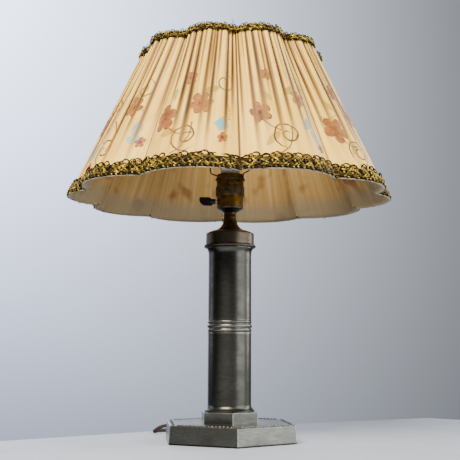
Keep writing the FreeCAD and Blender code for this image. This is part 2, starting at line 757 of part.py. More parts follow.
def lobe_band(lobe, bottom, top, inner_offset, outer_offset, pleats=1, depths=(0, 0)):
    return Part.makeLoft([
        lobe_section(lobe, bottom, inner_offset, outer_offset, pleats, depths[0]),
        lobe_section(lobe, top, inner_offset, outer_offset, pleats, depths[1]),
    ], True, True)


for lobe in range(LOBES):
    shaped("silk_panel_%02d" % (lobe + 1), lobe_band(
        lobe, size("silk_bottom"), size("silk_top"), -size("silk_thickness"), 0.0,
        PLEATS, (0.0, size("pleat_depth"))))
shaped("bottom_braid", Part.makeCompound([
    lobe_band(lobe, size("braid_bottom"), size("braid_bottom") + size("braid_height"),
              0.3, size("braid_thickness"))
    for lobe in range(LOBES)]))
# The top braid is divided as the silk is, so that it clears the crests of the pleats.
shaped("top_braid", Part.makeCompound([
    lobe_band(lobe, size("top_braid_bottom"), size("top_braid_top"), size("top_braid_inside"),
              size("top_braid_outside"), PLEATS)
    for lobe in range(LOBES)]))


def scalloped_wire(level, inset):
    """A wire ring that follows the lobes, with a drop of solder at every cusp."""
    pieces = []
    for lobe in range(LOBES):
        start, middle, end = lobe_points(lobe, level, -inset, 2)
        pieces.append(tube(Part.Wire([Part.Arc(start, middle, end).toShape()]), size("frame_wire")))
        pieces.append(Part.makeSphere(size("frame_wire") + 0.3, start))
    return pieces[0].multiFuse(pieces[1:])


BOTTOM_INSET = 3.3
TOP_INSET = 4.6
shaped("shade_bottom_frame", scalloped_wire(size("bottom_frame_level"), BOTTOM_INSET))
shaped("shade_top_frame", scalloped_wire(size("top_frame_level"), TOP_INSET))
ribs = []
arms = []
for cusp in range(LOBES):
    low, top = (lobe_points(cusp, size(level), -inset, 2)[0] for level, inset in (
        ("bottom_frame_level", BOTTOM_INSET), ("top_frame_level", TOP_INSET)))
    ribs.append(rod(low, top, size("frame_wire") - 0.2))
    if cusp % 2 == 0:
        hub = Vector(top.x, top.y, 0).normalize() * (size("fitter_radius") - 3)
        hub.z = size("fitter_top") + 0.6
        arms.append(rod(hub, top, size("frame_wire")))
shaped("shade_ribs", Part.makeCompound(ribs))
shaped("spider_arms", Part.makeCompound(arms))
turned("fitter_ring", [
    ("fitter_bore", "fitter_bottom"), ("fitter_radius", "fitter_bottom"),
    ("fitter_radius", "fitter_top"), ("fitter_bore", "fitter_top")])

# ================================================================ cord
bush_profile = [
    Part.makeCylinder(5.4, 6.1, cord_way * 79 + Vector(0, 0, size("cord_level")), cord_way),
    Part.makeCylinder(7.0, 1.8, cord_way * 85.0 + Vector(0, 0, size("cord_level")), cord_way),
    Part.makeCone(5.6, 3.6, size("bush_tip") - 86.5,
                  cord_way * 86.5 + Vector(0, 0, size("cord_level")), cord_way),
]
bush_bore = Part.makeCylinder(size("cord_radius"), 40,
                              cord_way * 75 + Vector(0, 0, size("cord_level")), cord_way)
shaped("cord_bush", bush_profile[0].multiFuse(bush_profile[1:]).cut(bush_bore))


def on_cord_way(distance, level):
    return cord_way * distance + Vector(0, 0, level)


bush_end = on_cord_way(size("bush_tip"), size("cord_level"))
inside_route = [
    bush_end, on_cord_way(34, size("cord_level")), on_cord_way(20, 5.6),
    Vector(0, 0, 5.0), Vector(0, 0, size("core_bottom"))]
inside_path, inside_radii = rounded_route(inside_route)
shaped("inner_flex", tube(inside_path, size("cord_radius")))
print("inner flex radii", [round(r, 1) for r in inside_radii])

# The free stretch drops to the table at the left and turns behind the base to the coil.
coil_start = COIL_CENTRE + Vector(0, -size("coil_outer"), size("coil_low"))
LEAD_IN = 10.0
cord_route = [
    bush_end,
    Vector(-71.0, 96.4, 12.6),
    Vector(-86.0, 101.5, 11.0),
    Vector(-100.5, 101.5, 7.2),
    Vector(-110.8, 111.8, 3.2),
    Vector(-110.8, 126.3, 2.6),
    Vector(-100.5, 136.5, 2.6),
    Vector(-72.0, 136.0, 2.6),
    Vector(-49.0, coil_start.y, size("coil_low")),
    coil_start - Vector(LEAD_IN, 0, 0),
]
free_path, free_radii = rounded_route(cord_route)
shaped("cord_free", tube(free_path, size("cord_radius")))
print("free cord radii", [round(r, 1) for r in free_radii])


def coil_state(turn):
    """Place and heading on the winding after a number of turns: in below, out above."""
    half = COIL_TURNS / 2
    depth = size("coil_outer") - size("coil_inner")
    radius = size("coil_inner") + depth * abs(turn - half) / half
    growth = depth / half * (0 if turn == half else math.copysign(1, turn - half))
    climb = min(1.0, max(0.0, (turn - half + 0.25) / 0.5))
    level = size("coil_low") + size("coil_step") * climb * climb * (3 - 2 * climb)
    rise = size("coil_step") * 6 * climb * (1 - climb) / 0.5
    angle = math.radians(360 * turn - 90)
    full = 2 * math.pi
    place = COIL_CENTRE + Vector(radius * math.cos(angle), radius * math.sin(angle), level)
    heading = Vector(growth * math.cos(angle) - radius * full * math.sin(angle),
                     growth * math.sin(angle) + radius * full * math.cos(angle), rise)
    return place, heading.normalize()


def biarc(start, heading, end, last_heading):
    """Two tangent arcs from one place and heading to the next."""
    gap = end - start
    a = 2 * (1 - heading.dot(last_heading))
    b = 2 * gap.dot(heading + last_heading)
    reach = (-b + math.sqrt(b * b + 4 * a * gap.dot(gap))) / (2 * a)
    first = start + heading * reach
    second = end - last_heading * reach
    joint = (first + second) * 0.5
    return [arc_over(start, first, joint), arc_over(joint, second, end)]


states = [coil_state(i / 4) for i in range(4 * COIL_TURNS + 1)]
states[0] = (states[0][0], Vector(1, 0, 0))
states[-1] = (states[-1][0], Vector(1, 0, 0))
lead_in = Part.LineSegment(coil_start - Vector(LEAD_IN, 0, 0), coil_start).toShape()
coil_edges = [lead_in]
for before, after in zip(states, states[1:]):
    coil_edges += biarc(before[0], before[1], after[0], after[1])
plug_face = Vector(size("plug_start"), states[-1][0].y, states[-1][0].z)
coil_edges.append(Part.LineSegment(states[-1][0], plug_face).toShape())
coil_path = Part.Wire(coil_edges)
shaped("cord_coil", tube(coil_path, size("cord_radius")))
samples = [coil_state(i / 48)[0] for i in range(48 * COIL_TURNS + 1)]
least = min(
    (samples[i] - samples[j]).Length
    for i in range(0, len(samples), 2) for j in range(i + 30, len(samples)))
print("coil: least gap to itself %.2f, cord length %.0f" % (
    least - 2 * size("cord_radius"), free_path.Length + coil_path.Length))

tie_floor = COIL_CENTRE + Vector(-3, size("coil_inner") - 4.2, 0)
tie_outer = Part.makeBox(6, 31.4, 13.0, tie_floor)
tie_outer = tie_outer.makeFillet(1.6, [e for e in tie_outer.Edges if e.BoundBox.XLength > 5.9])
tie_inner = Part.makeBox(6, 29.8, 11.4, tie_floor + Vector(0, 0.8, 0.8))
shaped("coil_tie", tie_outer.cut(tie_inner))

plug_round = Part.makeCone(6.0, size("plug_radius"), size("plug_cone"), plug_face, Vector(1, 0, 0))
plug_round = plug_round.fuse(Part.makeCylinder(
    size("plug_radius"), size("plug_length") - size("plug_cone"),
    plug_face + Vector(size("plug_cone"), 0, 0), Vector(1, 0, 0)))
plug_slab = Part.makeBox(size("plug_length") + 2, 40, 2 * plug_face.z,
                         Vector(plug_face.x - 1, plug_face.y - 20, 0))
shaped("plug_body", plug_round.common(plug_slab))
pins = []
for side in (-1, 1):
    root = plug_face + Vector(size("plug_length"), side * size("pin_spacing") / 2, 0)
    pins.append(Part.makeCylinder(size("pin_radius"), size("pin_length"), root, Vector(1, 0, 0)))
shaped("plug_pins", Part.makeCompound(pins))

# ================================================================ checks and export
doc.recompute()
broken = [thing.Name for thing in doc.Objects if set(thing.State) & {"Invalid", "Error"}]
if broken:
    raise RuntimeError("these objects did not build: %s" % broken)
os.makedirs("parts", exist_ok=True)
for part in sub_parts:
    shape = part.Shape
    if shape.isNull() or not shape.isValid() or not shape.Solids:
        raise RuntimeError("bad shape: " + part.Label)
    shape.exportStep(os.path.join("parts", part.Label + ".step"))
print("%d sub-parts" % len(sub_parts))
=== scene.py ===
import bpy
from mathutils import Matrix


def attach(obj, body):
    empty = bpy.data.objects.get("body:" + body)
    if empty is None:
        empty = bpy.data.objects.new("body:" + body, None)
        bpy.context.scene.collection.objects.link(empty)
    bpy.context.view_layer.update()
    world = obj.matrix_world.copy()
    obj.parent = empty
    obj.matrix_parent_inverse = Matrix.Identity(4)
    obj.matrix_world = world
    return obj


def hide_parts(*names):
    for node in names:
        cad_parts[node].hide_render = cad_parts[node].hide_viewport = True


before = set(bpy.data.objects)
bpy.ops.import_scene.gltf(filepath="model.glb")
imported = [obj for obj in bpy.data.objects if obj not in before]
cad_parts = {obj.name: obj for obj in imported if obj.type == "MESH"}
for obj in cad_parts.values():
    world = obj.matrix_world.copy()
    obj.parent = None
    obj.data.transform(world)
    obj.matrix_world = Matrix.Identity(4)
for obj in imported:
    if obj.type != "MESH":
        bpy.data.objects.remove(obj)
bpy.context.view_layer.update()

import functools
import random
from math import atan2, cos, dist, exp, floor, hypot, pi, radians, sin

import bpy
from bpy.props import FloatProperty, IntProperty, PointerProperty
from mathutils import Matrix, Vector, noise as roughly

bl_info = {
    "name": "Candlestick lamp",
    "version": (1, 0, 0),
    "blender": (4, 5, 0),
    "location": "View3D > Sidebar > Lamp",
    "description": "Dresses a pewter candlestick lamp with a scalloped silk shade",
    "category": "Object",
}

# Lengths are in millimetres, as in the CAD model, unless a setting says otherwise.
MM = 0.001
LOBES, PLEATS = 10, 8
SHADE_TURN = 3.3
SILK_BOTTOM, SILK_TOP = 336.0, 550.0
CUSP_RADII, LOBE_RADII = (204.0, 103.3), (226.5, 125.1)
# The arc along one lobe at each rim, so that patterns on the silk have their real size.
LOBE_WIDTH, TOP_WIDTH = 147.5, 90.4
AROUND = LOBES * LOBE_WIDTH
SLANT = 236.0
FELT_RADIUS, HEXAGON_TURN = 95.0, -23.65
COIL_X, COIL_Y = -15.0, 172.7
KNOT_Y, KNOT_Z = 199.6, 12.3


# ---- colours and nodes
def linear(code):
    """A hex sRGB colour as linear RGBA."""
    values = [int(code[i:i + 2], 16) / 255 for i in (1, 3, 5)]
    return [v / 12.92 if v <= 0.04045 else ((v + 0.055) / 1.055) ** 2.4 for v in values] + [1.0]


def add_node(tree, kind, *inputs, stops=(), **settings):
    """Adds a node, sets its properties and its ramp's stops, and sets or links its inputs,
    given in order or as one dictionary. A kind in capitals is a Math node's operation, and one
    without "Node" is a shader node. A node given as an input stands for its first output in
    use, and text with # for a colour."""
    if kind.isupper():
        kind, settings = "Math", {"operation": kind}
    node = tree.nodes.new(kind if "Node" in kind else "ShaderNode" + kind)
    for name, value in settings.items():
        setattr(node, name, value)
    elements = node.color_ramp.elements if stops else ()
    while len(elements) < len(stops):
        elements.new(0.5)
    for element, (position, code) in zip(elements, stops):
        element.position = position
        element.color = linear(code)
    named = inputs and isinstance(inputs[0], dict)
    for name, value in inputs[0].items() if named else enumerate(inputs):
        if isinstance(value, bpy.types.Node):
            value = next(output for output in value.outputs if output.enabled)
        if isinstance(value, bpy.types.NodeSocket):
            tree.links.new(value, node.inputs[name])
        else:
            colour = str(value).startswith("#")
            node.inputs[name].default_value = linear(value) if colour else value
    return node


def new_material(name):
    """A material with no nodes yet, and the function that adds nodes to it."""
    material = bpy.data.materials.new(name)
    material.use_nodes = True
    material.node_tree.nodes.clear()
    return material, functools.partial(add_node, material.node_tree)


def surface(add, colour, height, depth, strength=0.5, through=0.0, **sockets):
    """Ends a material with its colour, bumps of a depth, and the shader's other sockets. A thin
    cloth also lets a share of the light through, tinted by it."""
    bumps = add("Bump", {"Height": height, "Distance": depth * MM, "Strength": strength})
    shader = add("BsdfPrincipled", {"Base Color": colour, "Normal": bumps, **{
        socket.replace("_", " "): value for socket, value in sockets.items()}})
    if through:
        shader = add("MixShader", through, shader, add("BsdfTranslucent", colour))
    add("OutputMaterial", shader)


def layered(add, base, layers):
    """Lays each (mask, colour) over what is under it."""
    for mask, colour in layers:
        base = add("Mix", {0: mask, 6: base, 7: colour}, data_type="RGBA")
    return base


def noise(add, size, detail, stretch=(1, 1, 1)):
    """Noise whose features are about size across, longer where stretch is more than 1."""
    place = add("Mapping", {"Vector": add("TexCoord").outputs["Object"],
                            "Scale": [1000.0 / (size * s) for s in stretch]})
    return add("TexNoise", {"Vector": place, "Scale": 1.0, "Detail": detail, "Roughness": 0.55})


def cloth_place(add):
    """Where a point lies on the flat cloth: across and up."""
    u, v, _ = add("SeparateXYZ", add("UVMap", uv_map="UVMap")).outputs
    return add("MULTIPLY", u, AROUND), add("MULTIPLY", v, AROUND)


def streaks(add, cloth, width, length, detail=2.0):
    """Noise on the cloth whose features have this width and length."""
    place = add("CombineXYZ", add("DIVIDE", cloth[0], width), add("DIVIDE", cloth[1], length))
    return add("TexNoise", {"Vector": place, "Scale": 1.0, "Detail": detail})


# ---- meshes
def new_object(name, data):
    thing = bpy.data.objects.new(name, data)
    bpy.context.scene.collection.objects.link(thing)
    return thing


def finish_mesh(name, vertices, faces, material, smooth=True):
    """A mesh object at the origin, in the frame, from points in millimetres."""
    mesh = bpy.data.meshes.new(name)
    mesh.from_pydata([Vector(v) * MM for v in vertices], [], faces)
    mesh.validate()
    if smooth:
        mesh.shade_smooth()
    mesh.materials.append(material)
    return new_object(name, mesh)


def thicken(thing, thickness, offset=-1.0):
    """Gives a cloth its thickness, in metres; offset -1 grows it to the back of its faces."""
    modifier = thing.modifiers.new("Solidify", "SOLIDIFY")
    modifier.thickness, modifier.offset = thickness, offset


def carry(thing, body, slot, *nodes):
    """Makes a piece ride on a body, take a material slot and stand for CAD nodes."""
    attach(thing, body)
    if nodes:
        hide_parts(*nodes)
    return thing


def ring_faces(rows, count, start=0, inward=False):
    """Faces between rows of points that each go round once."""
    faces = []
    for row in range(start, start + rows * count, count):
        for i in range(count):
            a, b = row + i, row + (i + 1) % count
            faces.append((a, a + count, b + count, b) if inward
                         else (a, b, b + count, a + count))
    return faces


def strand(points, radius, sides=6, flat=1.0):
    """A thread through the points, as vertices and faces with closed ends."""
    points = [Vector(p) for p in points]
    vertices = []
    for i, point in enumerate(points):
        ahead = points[min(i + 1, len(points) - 1)] - points[max(i - 1, 0)]
        ahead.normalize()
        across = ahead.cross(Vector((0, 1, 0))).normalized()
        up = across.cross(ahead).normalized()
        taper = 0.6 if i in (0, len(points) - 1) else 1.0
        for k in range(sides):
            turn = 2 * pi * k / sides
            vertices.append(point + radius * taper * (
                across * cos(turn) + up * sin(turn) * flat))
    return vertices, ring_faces(len(points) - 1, sides, inward=True) + [
        tuple(range(sides)), tuple(reversed(range(len(vertices) - sides, len(vertices))))]


def gathered(parts):
    """Several (vertices, faces) lists as one."""
    vertices, faces = [], []
    for part_vertices, part_faces in parts:
        start = len(vertices)
        vertices += part_vertices
        faces += [tuple(start + i for i in face) for face in part_faces]
    return vertices, faces


# ---- the shade's form
def lobe_point(place, level):
    """A point on the scalloped cone. place counts lobes: 2.5 is the middle of the third."""
    lobe = floor(place)
    rise = (level - SILK_BOTTOM) / (SILK_TOP - SILK_BOTTOM)
    cusp, crown = (low + rise * (high - low) for low, high in (CUSP_RADII, LOBE_RADII))
    half_chord = cusp * sin(pi / LOBES)
    chord_level = cusp * cos(pi / LOBES)
    sag = crown - chord_level
    radius = (half_chord ** 2 + sag ** 2) / (2 * sag)
    centre = crown - radius
    reach = atan2(half_chord, chord_level - centre) * (2 * (place - lobe) - 1)
    out, along = centre + radius * cos(reach), radius * sin(reach)
    turn = radians((lobe + 0.5) * 360 / LOBES + SHADE_TURN)
    return Vector((out * sin(turn) + along * cos(turn),
                   -out * cos(turn) + along * sin(turn), level))


def bridged_point(place, level, offset, reach):
    """A point on the scalloped cone whose cusps are rounded over reach lobes on each side."""
    lobe = floor(place)
    share = place - lobe
    near = min(share, 1 - share)
    point = lobe_point(place, level)
    if near < reach:
        eased = near ** 2 / (2 * reach) + reach / 2
        fuller = lobe_point(lobe + (eased if share < 0.5 else 1 - eased), level)
        offset += hypot(fuller.x, fuller.y) - hypot(point.x, point.y)
    length = hypot(point.x, point.y)
    return Vector((point.x * (1 + offset / length), point.y * (1 + offset / length), level))


def lobed_mesh(name, section, columns, reach, material):
    """A mesh that follows the lobes through (offset, level) points."""
    count = LOBES * columns
    vertices = [bridged_point(i / columns, level, offset, reach)
                for offset, level in section for i in range(count)]
    return finish_mesh(name, vertices, ring_faces(len(section) - 1, count), material)


def soft_step(low, high, value):
    share = min(1.0, max(0.0, (value - low) / (high - low)))
    return share * share * (3 - 2 * share)


# ---- settings
class LampSilk(bpy.types.PropertyGroup):
    """Sizes of the gathered silk."""
    fold_depth: FloatProperty(
        name="Fold depth", description="How deep the gathers are under the top braid",
        default=0.0048, min=0.0, max=0.006, unit="LENGTH")
    cover_thickness: FloatProperty(
        name="Silk thickness", description="Thickness of the silk", default=0.0004,
        min=0.0002, max=0.001, unit="LENGTH")
    seed: IntProperty(name="Seed", description="Makes the gathers uneven", default=7)


class LampBraid(bpy.types.PropertyGroup):
    """Sizes of the gold braid."""
    lower_units: IntProperty(
        name="Scrolls on the lower rim", description="Braid repeats along the lower rim",
        default=110, min=40)
    upper_units: IntProperty(
        name="Scrolls on the upper rim", description="Braid repeats along the upper rim",
        default=80, min=40)
    wobble: FloatProperty(
        name="Wobble", description="How uneven the hand-made braid is", default=0.16, min=0.0,
        max=0.6, subtype="ANGLE")
    seed: IntProperty(name="Seed", description="Seed of the wobble", default=3)


class LampCord(bpy.types.PropertyGroup):
    """Sizes of the flex."""
    thickness: FloatProperty(
        name="Cord diameter", description="Diameter over the textile cover", default=0.005,
        min=0.003, max=0.008, unit="LENGTH")
    length: FloatProperty(
        name="Cord length", description="From the base to the plug", default=1.79, min=0.5,
        unit="LENGTH")


class LampStage(bpy.types.PropertyGroup):
    """The camera and the lights."""
    lens: FloatProperty(
        name="Lens", description="Focal length for a 36 mm sensor, in millimetres",
        default=68.68, min=20)
    softbox: FloatProperty(
        name="Softbox", description="Power of the softbox at the right, in watts", default=38.0,
        min=0)
    overhead: FloatProperty(
        name="Overhead light", description="Power of the light above, in watts", default=126.0,
        min=0)


# ---- materials
def pewter(name, dark, light, roughness, turned=True, worn=()):
    """Pewter with a grey patina: soft, slightly warm reflections and small pits. Its fine level
    lines are a lathe's or a file's, drawn 0.9 mm apart, coarser than real so that they show.
    Cast pieces are rubbed bright along the hexagon's corners and in the worn bands."""
    material, add = new_material(name)
    grain = noise(add, 0.9, 2.0, (12, 12, 1) if turned else (14, 14, 1))
    mixed = add("ADD", add("MULTIPLY", noise(add, 22.0, 4.0, (2, 2, 1)), 0.65),
                add("MULTIPLY", grain, 0.35))
    layers = [(add("MapRange", noise(add, 2.2, 2.0), 0.68, 0.74, 0.0, 0.55), dark)]
    if worn:
        at = add("TexCoord").outputs["Object"]
        x, y, z = add("SeparateXYZ", at).outputs
        level = add("MULTIPLY", z, 1000.0)
        across = add("VectorMath", at, (1000.0, 1000.0, 0.0), operation="MULTIPLY")
        # how far a point is from the nearest of the hexagon's corners
        sixth = add("FRACT", add("MULTIPLY_ADD", add("ARCTAN2", y, x), 3 / pi,
                                 -HEXAGON_TURN / 60))
        turn = add("MULTIPLY", add("MINIMUM", sixth, add("SUBTRACT", 1.0, sixth)), pi / 3)
        aside = add("MULTIPLY", add("VectorMath", across, operation="LENGTH"), turn)
        # Lighter near the hexagon's corners and along the bands: partly rubbed bright, partly
        # painted highlight.
        rubbed_and_highlit = add("MapRange", aside, 0.3, 0.9, 0.8, 0.0)
        for low, high in worn:
            band = add("MULTIPLY", add("MapRange", level, low - 0.3, low, 0.0, 1.0),
                       add("MapRange", level, high - 0.08, high, 1.0, 0.0))
            side = add("MAXIMUM", add("MapRange", level, high, high + 0.03, 1.0, 0.0),
                       add("MapRange", level, high + 0.12, high + 0.15, 0.0, 1.0))
            rubbed_and_highlit = add("MAXIMUM", band, add("MULTIPLY", rubbed_and_highlit, side))
        uneven = add("MapRange", noise(add, 6.0, 3.0), 0.35, 0.6, 0.3, 0.85)
        # Darker just above the table: painted contact shadow under the base.
        foot_shadow = add("MapRange", level, 1.7, 2.6, 0.85, 0.0)
        layers += [(add("MULTIPLY", rubbed_and_highlit, uneven), "#ACACA4"), (foot_shadow, "#1C1B19")]
    base = add("ValToRGB", mixed, stops=[(0.32, dark), (0.66, light)])
    surface(add, layered(add, base, layers), grain, 0.02, Metallic=1.0, Roughness=add(
        "MapRange", mixed, 0.3, 0.7, roughness + 0.08, roughness - 0.05))
    return material


def aged_brass(name, dark, light, roughness):
    """Spun brass gone brown: warm reflections with darker clouds where lacquer has gone."""
    material, add = new_material(name)
    clouds = noise(add, 9.0, 4.0, (1, 1, 0.7))
    surface(add, add("ValToRGB", clouds, stops=[(0.3, dark), (0.7, light)]),
            noise(add, 0.8, 2.0, (5, 5, 1)), 0.02, Metallic=1.0,
            Roughness=add("MapRange", clouds, 0.3, 0.7, roughness + 0.14, roughness))
    return material


def plain_finish(name, dark, light, roughness, size=3.0, depth=0.02, **sockets):
    """A moulded, glazed, drawn or pressed surface: two close tones and a fine grain."""
    material, add = new_material(name)
    grain = noise(add, size, 3.0)
    surface(add, add("ValToRGB", grain, stops=[(0.3, dark), (0.7, light)]), grain, depth,
            Roughness=add("MapRange", grain, 0.3, 0.7, roughness * 1.15, roughness * 0.9),
            **sockets)
    return material


def silk_paint(add, across, up, seed):
    """Loose painted flowers on the silk: each lobe has blossoms, leaves, a curled tendril, bowed
    stems and rows of dots, set down a little differently each time. Returns (mask, colour)
    layers."""
    def clouds(scale, detail=3.0):
        """Noise over the cloth, with features of 1 / scale millimetres."""
        return add("TexNoise", {"Vector": add("CombineXYZ", across, up), "Scale": scale,
                                "Detail": detail})

    drift = add("SeparateXYZ", clouds(0.045).outputs["Color"]).outputs
    across, up = (add("MULTIPLY_ADD", drift[0], 8.0, across),
                  add("MULTIPLY_ADD", drift[1], 8.0, up))
    counted = add("DIVIDE", across, LOBE_WIDTH)
    lobe = add("FLOOR", counted)
    local = add("MULTIPLY", add("SUBTRACT", add("FRACT", counted), 0.5), LOBE_WIDTH)
    flow = clouds(0.16)
    watery = add("MapRange", flow, 0.3, 0.7, 0.76, 1.0)
    layers = []

    def paint(colour, *masks):
        layers.append((functools.reduce(functools.partial(add, "MULTIPLY"), masks), colour))

    def spot(number, x, y, roam_x, roam_y, turn=0.0, swing=0.9):
        """Place about one motif: along, over, radius and angle, and a chance number."""
        key = add("CombineXYZ", lobe, number + seed)
        chance = add("SeparateXYZ", add("TexWhiteNoise", key).outputs["Color"]).outputs
        place = add("CombineXYZ", add("SUBTRACT", local, add(
            "MULTIPLY_ADD", chance[0], roam_x * 2, x - roam_x)), add("SUBTRACT", up, add(
                "MULTIPLY_ADD", chance[1], roam_y * 2, y - roam_y)))
        place = add("VectorRotate", {"Vector": place, "Angle": add(
            "MULTIPLY_ADD", chance[2], swing * 2, turn - swing)}, rotation_type="Z_AXIS")
        along, over, _ = add("SeparateXYZ", place).outputs
        radius = add("VectorMath", place, operation="LENGTH")
        return along, over, radius, add("ARCTAN2", over, along), chance[2]

    def within(value, low, high, soft=0.6):
        return add("MULTIPLY", add("MapRange", value, low - soft, low, 0.0, 1.0),
                   add("MapRange", value, high, high + soft, 1.0, 0.0))

    def leaf(number, x, y, length, width, turn, tint):
        """One brush mark, pointed at both ends, along its own x."""
        along, over, *_ = spot(number, x, y, 7.0, 6.0, turn, 0.5)
        share = add("DIVIDE", along, length)
        belly = add("MULTIPLY", add("MULTIPLY", share, add("SUBTRACT", 1.0, share)), 4 * width)
        body = add("SUBTRACT", belly, add("ABSOLUTE", over))
        paint(tint, add("MapRange", body, 0.0, 1.4, 0.0, 0.85), watery)

    def blossom(number, x, y, size, petals, tint, rim, heart):
        """Round petals with a darker outline and a small heart, in thin wash."""
        _, _, radius, angle, chance = spot(number, x, y, 10.0, 8.0)
        wave = add("ABSOLUTE", add("COSINE", add("MULTIPLY", angle, petals / 2)))
        edge = add("MULTIPLY", add("MULTIPLY_ADD", add("POWER", wave, 0.55), 0.5, 0.5),
                   add("MULTIPLY_ADD", chance, size * 0.4, size * 0.8))
        depth = add("SUBTRACT", edge, radius)
        paint(tint, add("MapRange", depth, 0.0, 0.9, 0.0, 0.97), watery)
        paint(heart, add("MapRange", radius, size * 0.55, size * 0.15, 0.0, 0.7),
              add("MapRange", flow, 0.4, 0.6, 0.2, 1.0))
        paint(rim, within(depth, 0.4, 1.2, 0.7), add("MapRange", flow, 0.35, 0.55, 0.35, 0.95))
        paint(rim, add("MapRange", radius, 2.8, 1.8, 0.0, 0.85))

    def curl(number, x, y, growth, first, last, turn, strength):
        """A tendril that winds outwards, from radius first to radius last."""
        _, _, radius, angle, _ = spot(number, x, y, 10.0, 7.0, turn)
        turns = add("SUBTRACT", add("DIVIDE", radius, growth),
                    add("DIVIDE", angle, 2 * pi))
        miss = add("ABSOLUTE", add("SUBTRACT", turns, add("ROUND", turns)))
        line = add("MapRange", add("MULTIPLY", miss, growth), 0.85, 1.5, strength, 0.0)
        paint("#44200F", line, within(radius, first, last))

    def stem(number, x, y, bow, span, turn, dots=0):
        """Part of a ring, drawn as a line or as a row of short marks."""
        _, _, radius, angle, _ = spot(number, x, y, 8.0, 6.0, turn, 0.6)
        inner, outer = (1.0, 2.0) if dots else (0.6, 1.3)
        line = add("MapRange", add("ABSOLUTE", add("SUBTRACT", radius, bow)), inner, outer, 0.9,
                   0.0)
        masks = [line, within(add("ABSOLUTE", angle), 0.0, span, 0.05)]
        if dots:
            step = add("FRACT", add("MULTIPLY", angle, dots / span))
            masks.append(add("MapRange", add("ABSOLUTE", add("SUBTRACT", step, 0.5)), 0.16,
                             0.24, 1.0, 0.0))
        paint("#2E120A" if dots else "#63351C", *masks)

    # a pale wash of ochre under everything, then the leaves, the blossoms and the drawn lines
    paint("#BE9A30", add("MapRange", clouds(0.03, 2.0), 0.5, 0.66, 0.0, 0.3),
          within(up, 45, 150, 30.0))
    leaf(1, -56, 98, 34, 7.0, 0.5, "#A08A2C")
    leaf(2, -14, 60, 32, 6.5, 2.6, "#AA8A2A")
    leaf(3, 12, 122, 32, 6.5, -0.5, "#8A7E38")
    leaf(4, 50, 84, 28, 8.5, 1.9, "#5F9AA0")
    leaf(5, 38, 66, 25, 8.5, 0.4, "#6AA4A8")
    leaf(6, -36, 132, 26, 5.5, 1.2, "#A4903A")
    blossom(11, -34, 84, 19.5, 5, "#7E3222", "#36120C", "#541A10")
    blossom(12, 26, 108, 15.5, 6, "#8A3E24", "#40160C", "#5E2214")
    blossom(13, 56, 46, 9.0, 5, "#962E22", "#5A1A14", "#661E16")
    blossom(14, -8, 148, 10.5, 5, "#7C3C30", "#3E1A16", "#56241C")
    curl(21, -2, 52, 13.0, 2.5, 22.0, 0.0, 0.95)
    curl(22, 44, 134, 11.0, 2.5, 16.0, 2.0, 0.85)
    stem(31, -34, 60, 44.0, 0.62, 0.3)
    stem(32, -8, 92, 36.0, 0.55, 2.2)
    stem(33, 30, 84, 30.0, 0.42, -0.6, dots=3)
    stem(34, -46, 118, 26.0, 0.6, 1.2, dots=4)
    return layers


def silk_outside():
    """Undyed silk habotai, yellowed with age: a soft sheen, fine lengthwise slubs, and folds
    that go from cream through amber to brown, because light passes through several layers."""
    material, add = new_material("Aged silk habotai")
    cloth = cloth_place(add)
    fold = add("Attribute", attribute_name="fold").outputs["Fac"]
    wide, fine = streaks(add, cloth, 13.0, 150.0), streaks(add, cloth, 2.2, 90.0)
    tone = add("ADD", add("MULTIPLY", wide, 0.5),
               add("MULTIPLY", streaks(add, cloth, 70.0, 60.0, 3.0), 0.5))
    layers = [(add("MapRange", fine, 0.5, 0.75, 0.0, 0.3), "#D09C44"), *silk_paint(add, *cloth, 5)]
    # painted shade along the pleats: their shaded sides, then the crease lines, then the gathers
    # under the top braid
    for start, end, most, width, length, detail, low, high, colour in (
            (70.0, 225.0, 0.6, 8.0, 400.0, 2.0, 0.5, 0.6, "#A07A38"),
            (40.0, 190.0, 0.85, 3.6, 500.0, 1.0, 0.63, 0.67, "#6A430F"),
            (160.0, 226.0, 0.7, 2.8, 300.0, 1.0, 0.57, 0.62, "#7A5214")):
        drawn = add("MapRange", streaks(add, cloth, width, length, detail), low, high, 0.0, 1.0)
        layers.append((add("MULTIPLY", add("MapRange", cloth[1], start, end, 0.0, most), drawn),
                       colour))
    # Painted shade deep in the folds and along the cusps, from the darkness worked out for each
    # point of the cover.
    layers += [(add("MapRange", fold, 0.03, 0.4, 0.0, 0.9), "#8E6420"),
               (add("MapRange", fold, 0.35, 0.85, 0.0, 0.95), "#3E2006")]
    base = add("ValToRGB", tone, stops=[(0.34, "#E8BC4E"), (0.5, "#F2CA5A"), (0.66, "#F8D676")])
    surface(add, layered(add, base, layers), add("ADD", fine, wide), 0.5, through=0.25,
            Roughness=0.5, Sheen_Weight=0.2, Sheen_Roughness=0.4, Specular_IOR_Level=0.3)
    return material


